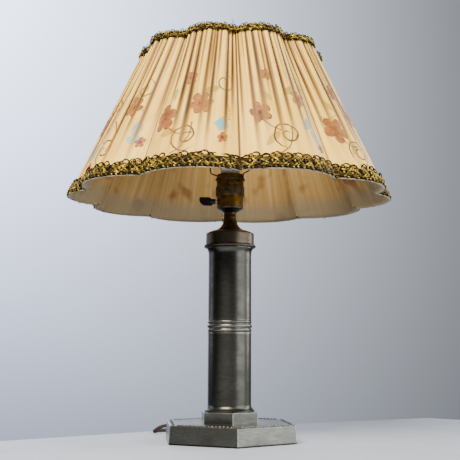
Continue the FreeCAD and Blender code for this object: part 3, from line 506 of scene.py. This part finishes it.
def silk_lining():
    """Plain silk lining, tanned by heat and dusty grey at the rim, with long soft stripes, a dark
    seam at each cusp and the outside's flowers showing through as faint blots."""
    material, add = new_material("Tanned silk lining")
    cloth = cloth_place(add)
    stripes = streaks(add, cloth, 7.0, 240.0, 3.0)
    counted = add("FRACT", add("DIVIDE", cloth[0], LOBE_WIDTH))
    edge = add("MULTIPLY", add("MINIMUM", counted, add("SUBTRACT", 1.0, counted)), LOBE_WIDTH)
    base = layered(add, add("ValToRGB", stripes, stops=[
        (0.3, "#AA8648"), (0.5, "#BC985A"), (0.72, "#C8A86E")]), [
        (add("MapRange", streaks(add, cloth, 34.0, 30.0, 1.0), 0.57, 0.7, 0.0, 0.6), "#74382A"),
        # Greyer near the rim, over its lowest few centimetres, with a wavering edge.
        (add("MapRange", add("MULTIPLY_ADD", stripes, 16.0, cloth[1]), 28.0, 44.0, 0.7, 0.0),
         "#988C72"),
        # A dark line at each cusp: partly the seam, partly painted shadow of the rib behind the
        # lining.
        (add("MapRange", edge, 1.2, 2.2, 0.9, 0.0), "#2A1E12")])
    surface(add, base, stripes, 0.3, 0.4, through=0.15, Roughness=0.75, Specular_IOR_Level=0.2)
    return material


def binding_tape():
    """Rayon tape folded over the rim: pale grey-cream, with the ribs of its weave 1.5 mm apart,
    coarser than real so that they show."""
    material, add = new_material("Woven rayon tape")
    cloth = cloth_place(add)
    ribs = add("SINE", add("MULTIPLY", cloth[0], 2 * pi / 1.5))
    surface(add, add("ValToRGB", streaks(add, cloth, 30.0, 20.0, 3.0), stops=[
        (0.35, "#746A58"), (0.6, "#9C9280")]), ribs, 0.2, Roughness=0.8, Sheen_Weight=0.2)
    return material


def metal_thread():
    """Gilt thread wound on a core, tarnished olive: small bright glints on a matt body."""
    material, add = new_material("Gilt thread")
    wind = noise(add, 1.5, 2.0)
    worn = add("MULTIPLY_ADD", noise(add, 7.0, 2.0), 0.5, add("MULTIPLY", wind, 0.5))
    surface(add, add("ValToRGB", worn, stops=[
        (0.39, "#130D02"), (0.47, "#4A3909"), (0.56, "#8C7418"), (0.65, "#E0C44C")]), wind, 0.3,
        0.8, Metallic=0.3, Roughness=0.45, Specular_IOR_Level=0.3)
    return material


def textile_cover():
    """Braided cotton sleeve of a flex, dark brown: a fine diagonal weave, drawn 1.2 mm apart,
    coarser than real so that it shows."""
    return plain_finish("Braided cotton sleeve", "#140D08", "#33241A", 0.85, 1.2, 0.25)


# The look of each CAD piece: kind, name, two tones, roughness, what else it takes, and nodes.
FINISHES = (
    (pewter, "Turned pewter", "#2F2F2B", "#53534E", 0.31, {}, "column_lower column_upper"),
    # It is lighter than the column: painted highlight on its crests.
    (pewter, "Turned pewter rubbed bright", "#4A4A45", "#807F78", 0.3, {}, "column_band"),
    (pewter, "Cast pewter", "#474844", "#6E6F6A", 0.28,
     {"turned": False, "worn": ((24.2, 25.17), (39.2, 40.17))}, "base_shell bead_border plinth"),
    (pewter, "Dark patinated pewter", "#3C362C", "#5A5246", 0.38, {}, "collar_ring top_cap"),
    (aged_brass, "Aged spun brass", "#42310F", "#8C6C2C", 0.3, {},
     "holder_lower_shell holder_upper_shell"),
    (aged_brass, "Spun brass gone dark", "#2C2210", "#5E4A28", 0.34, {}, "brass_cone"),
    (aged_brass, "Knurled brass gone dull", "#38301F", "#6E6246", 0.4, {}, "union_ring"),
    (aged_brass, "Brass worn grey", "#38332A", "#6C6654", 0.24, {}, "holder_cup"),
    # Zinc plate is pale and satin, drawn wire browner and duller, bare contacts yellow.
    (plain_finish, "Zinc plated steel", "#8C8D8F", "#A9AAAC", 0.35, {"Metallic": 1.0},
     "base_nut base_washer through_tube terminal_screws switch_spindle"),
    (plain_finish, "Browned steel wire", "#2B231A", "#4A3D2E", 0.45, {"Metallic": 0.8},
     "carrier_ring carrier_legs carrier_seat"),
    (plain_finish, "Bare brass contact", "#9C7C42", "#C0A060", 0.3, {"Metallic": 1.0},
     "screw_shell centre_contact plug_pins"),
    (plain_finish, "Drawn aluminium", "#B9B6B0", "#CFCCC6", 0.3, {"Metallic": 1.0},
     "bulb_cap bulb_contact"),
    (plain_finish, "Drawn tungsten", "#4A4A4C", "#6A6A6C", 0.4, {"Metallic": 1.0}, "filament"),
    # Sand-cast iron is rough and dark, with a grain of 2 mm.
    (plain_finish, "Raw cast iron", "#26262A", "#3C3C3E", 0.7,
     {"size": 2.0, "depth": 0.2, "Metallic": 0.6}, "ballast_plate"),
    # The shade's wires are wound with tape, so they are matt and as light as the lining.
    (plain_finish, "Taped shade wire", "#A08050", "#BE9A64", 0.8, {},
     "shade_bottom_frame shade_top_frame shade_ribs spider_arms fitter_ring"),
    # The glaze gives porcelain its sharp glints; bakelite is duller, and fibre is matt.
    (plain_finish, "Glazed porcelain", "#DAD4C6", "#E8E3D8", 0.18,
     {"size": 6.0, "depth": 0.01, "Coat_Weight": 0.5}, "holder_core"),
    (plain_finish, "Black bakelite", "#040404", "#0B0B0C", 0.34,
     {"size": 4.0, "Specular_IOR_Level": 0.3}, "switch_key switch_rotor plug_body cord_bush"),
    (plain_finish, "Vulcanised fibre", "#3A2818", "#54391F", 0.6, {}, "insulating_sleeve"),
    # Black and clear glass are smooth; the bulb is etched inside, so it glows a soft white.
    (plain_finish, "Black glass", "#060606", "#101010", 0.1, {}, "bulb_insulator"),
    (plain_finish, "Clear glass", "#E8ECEB", "#F4F6F5", 0.05, {"Transmission_Weight": 0.9},
     "bulb_stem"),
    (plain_finish, "Inside frosted glass", "#C8C6BC", "#D6D4CA", 0.35,
     {"size": 8.0, "depth": 0.01, "Transmission_Weight": 0.25}, "bulb_glass"),
)


# ---- pieces
def metalwork(context):
    """Gives the CAD pieces of the stand, switch, bulb and carrier their finishes."""
    finishes = [(kind(*tones, **extra), nodes) for kind, *tones, extra, nodes in FINISHES]
    for material, nodes in finishes + [(textile_cover(), "inner_flex")]:
        for node in nodes.split():
            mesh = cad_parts[node].data
            mesh.materials.clear()
            mesh.materials.append(material)


def unwrap(mesh, columns, lengths):
    """Lays the cloth out flat in the UV map, closed round the shade without a jump. lengths
    says how far up the cloth each row of its points is."""
    count = LOBES * columns
    layer = mesh.uv_layers.new(name="UVMap")
    for face in mesh.polygons:
        corners = [(v % count / count, lengths[v // count] / AROUND) for v in face.vertices]
        wraps = max(corners)[0] > 0.9 and min(corners)[0] < 0.1
        for loop, (u, v) in zip(face.loop_indices, corners):
            layer.data[loop].uv = (u + 1.0 if wraps and u < 0.1 else u, v)


def crease_places(settings):
    """For each lobe: where each crease is, its depth, how far down it starts, half width."""
    chance = random.Random(settings.seed)
    lobes = []
    for lobe in range(LOBES):
        found = []
        for j in range(1, PLEATS + 1):
            found.append(((j - 0.5 + chance.uniform(-0.3, 0.3)) / PLEATS,
                          chance.uniform(0.55, 1.0), chance.uniform(-0.5, 0.35),
                          chance.uniform(1.5, 2.7)))
            if chance.random() < 0.6:
                found.append(((j + chance.uniform(-0.2, 0.2)) / PLEATS,
                              chance.uniform(0.25, 0.5), chance.uniform(0.3, 0.75),
                              chance.uniform(0.9, 1.5)))
        lobes.append(found)
    return lobes


def cover_point(place, rise, depth, creases, cusp_shades):
    """A point of the cover and how deep in a fold it is, 0 to 1."""
    lobe = floor(place)
    share = place - lobe
    arc = LOBE_WIDTH + rise * (TOP_WIDTH - LOBE_WIDTH)
    offset, dark = 0.5 + 0.6 * rise, 0.0
    for spot, deep, start, half in creases[lobe]:
        aside = (share - spot) * arc
        if abs(aside) > 16:
            continue
        half = half * (1.0 + 2.2 * (1 - rise)) * (2.0 if aside > 0 else 1.0)
        held = deep * (0.15 + 0.85 * soft_step(start, 0.9, rise)) * (
            1 - 0.5 * soft_step(0.93, 0.97, rise))
        offset -= depth * held * exp(-(aside / half) ** 2)
        # Painted shade in the crease, darker towards the top.
        dark = max(dark, min(1.0, 1.6 * held * soft_step(-0.2, 0.5, rise)) *
                   exp(-(aside / (0.42 * half)) ** 2))
    edge = min(share, 1 - share) * arc
    cusp_shade = cusp_shades[lobe if share < 0.5 else (lobe + 1) % LOBES]
    offset -= (0.6 + 1.2 * rise) * exp(-(edge / 1.6) ** 2)
    # Painted shade along the cusp, more towards the top.
    dark = max(dark, (cusp_shade + (1 - cusp_shade) * 0.8 * rise) * exp(-(edge / 1.5) ** 2))
    ripple = sin(6.283 * (share * 7 + lobe * 0.37) + 2.0 * rise)
    offset += 0.35 * ripple * (1 - rise)
    level = SILK_BOTTOM + (SILK_TOP - SILK_BOTTOM) * rise
    return bridged_point(place, level, offset, 0.02 + 0.1 * rise), dark


def silk(context):
    """Builds the gathered silk, its lining and the tape that binds the rim."""
    settings = context.scene.lamp_silk
    creases = crease_places(settings)
    # How dark each cusp is painted, as painted shade in its crease. The cloth is joined at the
    # first cusp, so that crease is darkest, down to the rim.
    cusp_shades = [0.95] + [0.35 + 0.08 * (i % 4) for i in range(1, LOBES)]
    columns, rows = 84, 42
    count = LOBES * columns
    points = [cover_point(i / columns, row / rows, settings.fold_depth / MM, creases, cusp_shades)
              for row in range(rows + 1) for i in range(count)]
    cover = finish_mesh("silk_cover", [point for point, _ in points],
                        ring_faces(rows, count), silk_outside())
    # This attribute carries the painted shade of the folds and cusps to the material.
    attribute = cover.data.attributes.new("fold", "FLOAT", "POINT")
    attribute.data.foreach_set("value", [min(0.97, dark) for _, dark in points])
    unwrap(cover.data, columns, [row / rows * SLANT for row in range(rows + 1)])
    thicken(cover, settings.cover_thickness)
    carry(cover, "shade", "silk", *["silk_panel_%02d" % (i + 1) for i in range(LOBES)])

    # The lining goes inside the wire frame and comes out to the rim below it.
    section = [(-1.4, 335.2), (-3.6, 335.6), (-5.0, 336.8), (-5.5, 339.0), (-5.6, 345.0)]
    section += [(-5.6 - 1.2 * i / 12, 345.0 + 17.0 * i) for i in range(1, 13)]
    lining = band("silk_lining", section, 24, silk_lining(), "silk")
    # The tape is folded round the rim, from the lining over the edge to under the braid.
    section = [(-3.4, 335.9), (-2.6, 334.9), (-1.2, 334.2), (0.4, 334.2), (1.0, 334.9),
               (0.6, 336.6), (0.5, 339.0), (0.5, 341.5)]
    binding = band("rim_binding", section, 32, binding_tape(), "braid")


def band(name, section, columns, material, slot):
    """A cloth that follows the lobes through (offset, level) points, with a flat UV map."""
    cloth = lobed_mesh(name, section, columns, 0.03, material)
    lengths = [0.0]
    for ends in zip(section, section[1:]):
        lengths.append(lengths[-1] + dist(*ends))
    unwrap(cloth.data, columns, lengths)
    thicken(cloth, 0.0004)
    return carry(cloth, "shade", slot)


def braid_threads(pitch, height, picots):
    """One repeat of the braid, x along the rim, z up it and y out: gilt ribbons that cross in a
    lattice with a knot between, a rope at each edge, and dark loops above."""
    half = pitch / 2
    low, high = 0.2 * height, 0.74 * height
    mid = (low + high) / 2
    rise = high - low
    thick = height / 20

    def wave(radius, sides, *points):
        return strand([(x * half, y * (0.7 + 0.3 * thick), z) for x, y, z in points],
                      radius * thick, sides, 0.7)

    gilt = [
        wave(1.45, 6, (-1.08, 1.0, low), (-0.45, 2.2, low + 0.2 * rise), (0, 2.9, mid),
             (0.45, 2.1, high - 0.2 * rise), (1.08, 1.0, high)),
        wave(1.25, 6, (-1.08, 1.3, high), (-0.5, 1.5, high - 0.25 * rise), (0, 1.5, mid),
             (0.5, 1.7, low + 0.25 * rise), (1.08, 1.3, low)),
        wave(0.95, 5, (-0.55, 1.6, high + 0.4), (-0.1, 2.4, high - 1.6 * thick),
             (0.45, 1.5, high + 0.5)),
        wave(0.95, 5, (-0.5, 1.6, low - 0.3), (0.05, 2.3, low + 1.7 * thick),
             (0.55, 1.4, low - 0.2)),
        wave(1.25, 5, (0.86, 1.2, mid - 2.1 * thick), (1.0, 2.5, mid),
             (0.9, 1.2, mid + 2.3 * thick)),
    ]
    dark = [
        wave(0.4, 4, (-1.05, 1.6, mid + 0.8), (-0.5, 2.5, mid - 2.2 * thick),
             (0, 2.2, low + 0.4), (0.5, 2.4, mid - 2.0 * thick), (1.05, 1.6, mid + 0.6)),
        wave(0.4, 4, (-1.05, 1.6, mid - 0.6), (-0.4, 2.5, mid + 2.4 * thick),
             (0.1, 2.1, high - 0.3), (0.6, 2.5, mid + 2.0 * thick), (1.05, 1.6, mid - 0.7)),
    ]
    turns = max(3, round(pitch / 2.7))
    for i in range(turns):
        x = (2 * (i + 0.5) / turns - 1) * half
        (dark if i % 3 else gilt).append(strand([
            (x - 1.1, 0.7, 0.2), (x, 2.1 * thick, 1.8 * thick), (x + 1.2, 0.7, 3.4 * thick)],
            0.95 * thick, 5))
        (gilt if i % 3 == 1 else dark).append(strand([
            (x - 1.0, 0.8, high + 0.3), (x, 1.8 * thick, high + 1.6 * thick),
            (x + 1.1, 0.8, high + 3.0 * thick)], 0.7 * thick, 5))
    for x, reach, width in picots:
        angles = [radians(a) for a in range(-20, 201, 22)]
        dark.append(strand([
            (x * half + width * cos(a), 1.0 + 0.9 * sin(a),
             high + 1.6 * thick + reach * sin(a)) for a in angles], 0.6, 4))
    return gilt, dark


def crumple(mesh, pitch, amount=0.9):
    """Moves every point a little, more than a thread's width apart in different ways."""
    for vertex in mesh.vertices:
        place = vertex.co / MM
        vertex.co += MM * (roughly.noise_vector(place / (0.8 * pitch)) * amount
                           + roughly.noise_vector(place / 2.6) * amount * 0.45)
    mesh.update()


BRAID_INPUTS = (("Geometry", "Geometry"), ("Gilt threads", "Object"), ("Dark threads", "Object"),
                ("Gilt finish", "Material"), ("Dark finish", "Material"), ("Wobble", "Float"),
                ("Seed", "Int"))


def braid_tree():
    """Places the two thread bundles on every point of the rim, each a little crooked."""
    tree = bpy.data.node_groups.new("Braid on a rim", "GeometryNodeTree")
    tree.is_modifier = True
    for name, kind in BRAID_INPUTS:
        tree.interface.new_socket(name, in_out="INPUT", socket_type="NodeSocket" + kind)
    tree.interface.new_socket("Geometry", in_out="OUTPUT", socket_type="NodeSocketGeometry")
    add = functools.partial(add_node, tree)
    given = add("NodeGroupInput").outputs
    lean, along = (add("GeometryNodeInputNamedAttribute", {"Name": name},
                       data_type="FLOAT_VECTOR") for name in ("lean", "along"))
    facing = add("FunctionNodeAxesToRotation", lean, along, primary_axis="Z", secondary_axis="X")
    swing, size = (add("FunctionNodeRandomValue", {"Min": least, "Max": most,
                                                   "Seed": given["Seed"]},
                       data_type="FLOAT_VECTOR")
                   for least, most in (((-1.0, -1.0, -1.0), (1.0, 1.0, 1.0)),
                                       ((0.92, 0.9, 0.93), (1.1, 1.15, 1.08))))
    swing = add("VectorMath", {0: swing, "Scale": given["Wobble"]}, operation="SCALE")
    crooked = add("FunctionNodeRotateRotation", facing, swing, rotation_space="LOCAL")
    joined = add("GeometryNodeJoinGeometry")
    for kind in ("Gilt", "Dark"):
        bundle = add("GeometryNodeObjectInfo", {"Object": given[kind + " threads"]})
        placed = add("GeometryNodeInstanceOnPoints", {
            "Points": given["Geometry"], "Instance": bundle.outputs["Geometry"],
            "Rotation": crooked, "Scale": size})
        coloured = add("GeometryNodeSetMaterial", {
            "Geometry": add("GeometryNodeRealizeInstances", placed),
            "Material": given[kind + " finish"]})
        tree.links.new(coloured.outputs[0], joined.inputs[0])
    add("NodeGroupOutput", joined)
    return tree


def braid(context):
    """Builds the gold and black braid on both rims."""
    settings = context.scene.lamp_braid
    # Without a seed of its own, the noise that crumples the threads changes with the clock.
    roughly.seed_set(settings.seed + 1)
    gilt = metal_thread()
    # Black silk gone brown: it hardly shines, so the gaps between the gilt look deep.
    dark = plain_finish("Dark silk thread", "#0A0702", "#261B08", 0.75, 0.7, 0.1,
                        Specular_IOR_Level=0.12)
    tree = braid_tree()
    for name, node, units, width, bottom, height, rest, reach, picots in (
            ("lower_braid", "bottom_braid", settings.lower_units, LOBE_WIDTH, 334.6, 20.0,
             0.4, 0.05, ((-0.15, 5.2, 5.6), (0.05, 4.0, 6.4), (0.75, 3.4, 3.2))),
            ("upper_braid", "top_braid", settings.upper_units, TOP_WIDTH, 539.0, 11.5,
             1.6, 0.13, ((-0.4, 1.6, 1.8), (0.5, 2.0, 2.2)))):
        pitch = width * LOBES / units
        bundles = [finish_mesh(name + end, *gathered(threads), finish)
                   for end, threads, finish in zip(
                       ("_gilt", "_dark"), braid_threads(pitch, height, picots),
                       (gilt, dark))]

        def along_rim(aside, level, out=0.0):
            return [bridged_point((i + 0.5) * LOBES / units + aside, level, out, reach)
                    for i in range(units)]

        rim = finish_mesh(name, along_rim(0, bottom, rest), [], gilt)
        step = 0.25 / units * LOBES
        for label, ahead, behind in (
                ("along", along_rim(-step, bottom), along_rim(step, bottom)),
                ("lean", along_rim(0, bottom + 10), along_rim(0, bottom))):
            attribute = rim.data.attributes.new(label, "FLOAT_VECTOR", "POINT")
            attribute.data.foreach_set("vector", [
                c for a, b in zip(ahead, behind) for c in (a - b).normalized()])
        modifier = rim.modifiers.new("Braid", "NODES")
        modifier.node_group = tree
        values = (*bundles, gilt, dark, settings.wobble, settings.seed)
        for socket, value in zip(BRAID_INPUTS[1:], values):
            modifier[tree.interface.items_tree[socket[0]].identifier] = value
        graph = context.evaluated_depsgraph_get()
        graph.update()
        mesh = bpy.data.meshes.new_from_object(rim.evaluated_get(graph))
        rim.modifiers.clear()
        rim.data = mesh
        crumple(mesh, pitch)
        for bundle in bundles:
            bpy.data.objects.remove(bundle)
        carry(rim, "shade", "braid", node)
        low, high = bottom + 0.6, bottom + height * 0.8
        net = lobed_mesh(name + "_net", [(rest + 0.7, low + (high - low) * row / 4)
                                         for row in range(5)], 32, reach, dark)
        thicken(net, 0.0007)
        carry(net, "shade", "braid")
    start = bridged_point(10 - 0.08, 548.5, 2.6, 0.13)
    wisp = strand([start + Vector(step) for step in (
        (0, 0, 0), (0.4, -0.6, 2.4), (1.3, -0.4, 4.6), (0.9, 0.2, 6.9), (-0.9, 0.5, 8.6),
        (-0.4, 0.4, 10.4))], 0.4, 5)
    carry(finish_mesh("loose_thread", *wisp, dark), "shade", "braid")


def felt(context):
    """Lays the felt under the base."""
    # Pressed wool felt, cut by hand, so its edge wanders by a fraction of a millimetre.
    felt = plain_finish("Black wool felt", "#060606", "#121212", 0.95, 0.8, 0.4)
    steps, rings = 24, 6
    count = 6 * steps
    top = Vector((0, 0, 1.0))
    vertices = [top]
    for ring in range(1, rings + 1):
        for i in range(count):
            side, share = divmod(i / steps, 1.0)
            ends = [Vector((cos(a), sin(a), 0)) for a in (
                radians(HEXAGON_TURN + 60 * (side + k)) for k in (0, 1))]
            edge = ends[0].lerp(ends[1], share) * FELT_RADIUS
            edge *= 1 - 0.003 * (1 + roughly.noise(edge / 6))
            vertices.append(edge * (ring / rings) + top)
    faces = [(0, 1 + i, 1 + (i + 1) % count) for i in range(count)]
    faces += ring_faces(rings - 1, count, start=1, inward=True)
    sheet = finish_mesh("felt_sheet", vertices, faces, felt)
    thicken(sheet, 0.001)
    carry(sheet, "stand", "felt", "base_felt")


def cord(context):
    """Lays the free cord behind the base and winds the rest into its coil."""
    settings = context.scene.lamp_cord
    tie()
    route = [(-61.65, 83.76, 13.0), (-71.0, 96.4, 12.8), (-86.0, 101.0, 13.0),
             (-101.5, 101.5, 11.2), (-112.5, 109.5, 2.8), (-112.0, 126.3, 2.6),
             (-100.5, 136.5, 2.6), (-72.0, 136.0, 2.6), (-49.0, 132.0, 3.4),
             (-25.0, 132.0, 3.4)]
    # The coil winds inwards on the table and outwards again on top of that.
    turns, inner, outer, per_turn = 9, 15.5, 40.7, 16
    for i in range(turns * per_turn + 1):
        turn = i / per_turn
        radius = inner + (outer - inner) * abs(turn - turns / 2) / (turns / 2)
        level = 3.4 + 5.5 * soft_step(turns / 2 - 0.25, turns / 2 + 0.25, turn)
        angle = radians(360 * turn - 90)
        route.append((COIL_X + radius * cos(angle), COIL_Y + radius * sin(angle),
                      level))
    route.append((12.0, 132.0, 8.9))
    curve = bpy.data.curves.new("cord_line", "CURVE")
    curve.dimensions = "3D"
    curve.bevel_depth = settings.thickness / 2
    curve.bevel_resolution = 3
    curve.resolution_u = 4
    curve.use_fill_caps = True
    spline = curve.splines.new("NURBS")
    spline.points.add(len(route) - 1)
    for point, place in zip(spline.points, route):
        point.co = [c * MM for c in place] + [1.0]
    spline.order_u = 3
    spline.use_endpoint_u = True
    line = new_object("cord_line", curve)
    curve.materials.append(textile_cover())
    carry(line, "stand", "cord_textile", "cord_free", "cord_coil")


def tie():
    """The cotton tape round the coil's turns, knotted on top with two short ends."""
    tape = plain_finish("Cotton tape", "#2A241E", "#3D352C", 0.9, 0.6, 0.2)
    low, high, near, far, bend = 0.45, 12.1, 184.9, 214.3, 4.2
    loop = []
    for y, z, first in ((far - bend, high - bend, 0), (near + bend, high - bend, 90),
                        (near + bend, low + bend, 180), (far - bend, low + bend, 270)):
        for i in range(7):
            angle = radians(first + 15 * i)
            loop.append((y + bend * cos(angle), z + bend * sin(angle)))
    across = (-3.0, -1.6, 0.0, 1.6, 3.0)
    vertices = []
    for i, (y, z) in enumerate(loop):
        on_top = z > 8
        for j, x in enumerate(across):
            pinch = 1 - 0.25 * exp(-((y - KNOT_Y) / 4) ** 2) * on_top
            vertices.append((COIL_X + x * pinch, y, z + 0.12 * sin(1.7 * i + j)
                             * on_top))
    count, wide = len(loop), len(across)
    faces = []
    for i in range(count):
        for j in range(wide - 1):
            a, b = i * wide + j, (i + 1) % count * wide + j
            faces.append((a, a + 1, b + 1, b))
    parts = [(vertices, faces)]
    for way in (-1, 1):
        parts.append(strand([(COIL_X + x * way, y, z) for x, y, z in (
            (0.5, KNOT_Y, KNOT_Z), (2.2, 200.8, 12.7), (5.2, 203.4, 12.2),
            (8.0, 207.2, 11.9))], 0.42))
    parts.append(strand([(COIL_X + 2.0 * cos(a), KNOT_Y + 1.5 * sin(a), 12.45)
                         for a in (radians(40 * i) for i in range(10))], 0.5))
    thing = finish_mesh("tie_tape", *gathered(parts), tape)
    thicken(thing, 0.0005, 0.0)
    carry(thing, "stand", "tie", "coil_tie")


def stage(context):
    """Sets up the table, the soft light, the backdrop and the camera."""
    settings = context.scene.lamp_stage
    # The table's back edge runs slantwise behind the lamp, as in the photograph, with a
    # corner at the right. It bends a little behind the base, so that the coil lies on it.
    outline = [(-2805, -4200), (2871, -4200), (2871, -2005), (371, 442), (0, 242),
               (-2805, -2078)]
    corners = len(outline)
    vertices = [(x, y, z) for z in (-30.0, 0.0) for x, y in outline]
    faces = [tuple(reversed(range(corners))), tuple(range(corners, 2 * corners))]
    # A smooth matt table top, pale cool grey.
    table = finish_mesh(
        "table_top", vertices, faces + ring_faces(1, corners),
        plain_finish("Matt table top", "#9DA3AD", "#A5ABB5", 0.5, 120.0, 0.01), smooth=False)

    soft = settings.softbox
    for name, place, height, size, power, colour in (
            ("softbox_right", (1.41, -0.69, 0.7), 0.3, (1.5, 1.7), soft, "#FFFFFF"),
            ("right_edge", (1.45, 0.62, 0.75), 0.42, (0.5, 1.3), soft * 0.5, "#FFFDF8"),
            ("overhead", (-0.55, -1.43, 1.45), 0.42, (1.1, 0.8), settings.overhead,
             "#FFF6EA"),
            ("left_fill", (-1.6, 0.7, 0.7), 0.2, (0.8, 1.2), soft * 0.14, "#F4F7FF")):
        light = bpy.data.lights.new(name, "AREA")
        light.shape = "RECTANGLE"
        light.size, light.size_y = size
        light.energy = power
        light.color = linear(colour)[:3]
        thing = new_object(name, light)
        thing.location = place
        aim = Vector((0, 0, height)) - Vector(place)
        thing.rotation_euler = aim.to_track_quat("-Z", "Y").to_euler()

    world = bpy.data.worlds.new("Backdrop")
    context.scene.world = world
    world.use_nodes = True
    world.node_tree.nodes.clear()
    add = functools.partial(add_node, world.node_tree)
    ahead = add("SeparateXYZ", add("TexCoord").outputs["Generated"]).outputs
    x = add("MapRange", ahead[0], -0.32, 0.32, -0.32, 0.32)
    z = add("MapRange", ahead[2], -0.15, 0.45, -0.15, 0.45)
    # The backdrop falls off evenly from upper left to lower right: its logarithm is a
    # second-order polynomial in the direction.
    rise = add("MULTIPLY_ADD", z, add("MULTIPLY_ADD", z, -3.61, 3.14), -0.22)
    slope = add("ADD", add("MULTIPLY_ADD", x, -3.52, -2.77), add("MULTIPLY", z, -6.47))
    strength = add("EXPONENT", add("ADD", rise, add("MULTIPLY", x, slope)))
    tint = add("ValToRGB", add("MapRange", x, -0.27, 0.27, 0.0, 1.0), stops=[
        (0.0, "#D7E1FF"), (0.5, "#E3EDFF"), (1.0, "#ECF3FF")])
    shown = add("Background", tint, strength)
    # Only the camera and what lies straight behind the lamp see it; the rest of the room
    # is a dim grey that gets lighter upwards.
    glow = add("ValToRGB", ahead[2], stops=[
        (0.0, "#303030"), (0.25, "#3C3C3C"), (0.8, "#B8B8B8")])
    around = add("MixShader", add("MapRange", ahead[1], 0.72, 0.93, 0.0, 1.0),
                 add("Background", glow, 0.6), shown)
    seen = add("LightPath").outputs["Is Camera Ray"]
    add("OutputWorld", add("MixShader", seen, around, shown))

    camera = new_object("camera", bpy.data.cameras.new("camera"))
    camera.data.lens = settings.lens
    camera.data.sensor_width = 36.0
    camera.matrix_world = (
        Matrix.Translation((0.0, -1.2276, 0.1207))
        @ Matrix.Rotation(pi / 2 + 0.138, 4, "X") @ Matrix.Rotation(0.004, 4, "Z"))
    context.scene.camera = camera


def operator(build):
    """The operator that runs a function, with the function's name and docstring."""
    def execute(self, context):
        build(context)
        return {"FINISHED"}

    name = build.__name__
    return type("LAMP_OT_" + name, (bpy.types.Operator,), {
        "__doc__": build.__doc__, "bl_idname": "lamp." + name, "bl_label": name.title(),
        "execute": execute})


class LAMP_PT_panel(bpy.types.Panel):
    """Lists the lamp's pieces and their sizes"""
    bl_idname = "LAMP_PT_panel"
    bl_label = "Candlestick lamp"
    bl_space_type = "VIEW_3D"
    bl_region_type = "UI"
    bl_category = "Lamp"

    def draw(self, context):
        for group in GROUPS:
            settings = getattr(context.scene, GROUPS[group])
            box = self.layout.box()
            box.label(text=group.__doc__)
            for name in group.__annotations__:
                box.prop(settings, name)
        for piece in OPERATORS:
            self.layout.operator(piece.bl_idname)


GROUPS = {LampSilk: "lamp_silk", LampBraid: "lamp_braid", LampCord: "lamp_cord",
          LampStage: "lamp_stage"}
OPERATORS = [operator(build) for build in (stage, cord, felt, metalwork, braid, silk)]


def register():
    for kind in (*GROUPS, *OPERATORS, LAMP_PT_panel):
        bpy.utils.register_class(kind)
    for group, name in GROUPS.items():
        setattr(bpy.types.Scene, name, PointerProperty(type=group))


def unregister():
    for name in GROUPS.values():
        delattr(bpy.types.Scene, name)
    for kind in reversed((*GROUPS, *OPERATORS, LAMP_PT_panel)):
        bpy.utils.unregister_class(kind)


def main():
    register()
    for piece in OPERATORS:
        getattr(bpy.ops.lamp, piece.bl_idname.split(".")[1])()


if __name__ == "__main__":
    main()
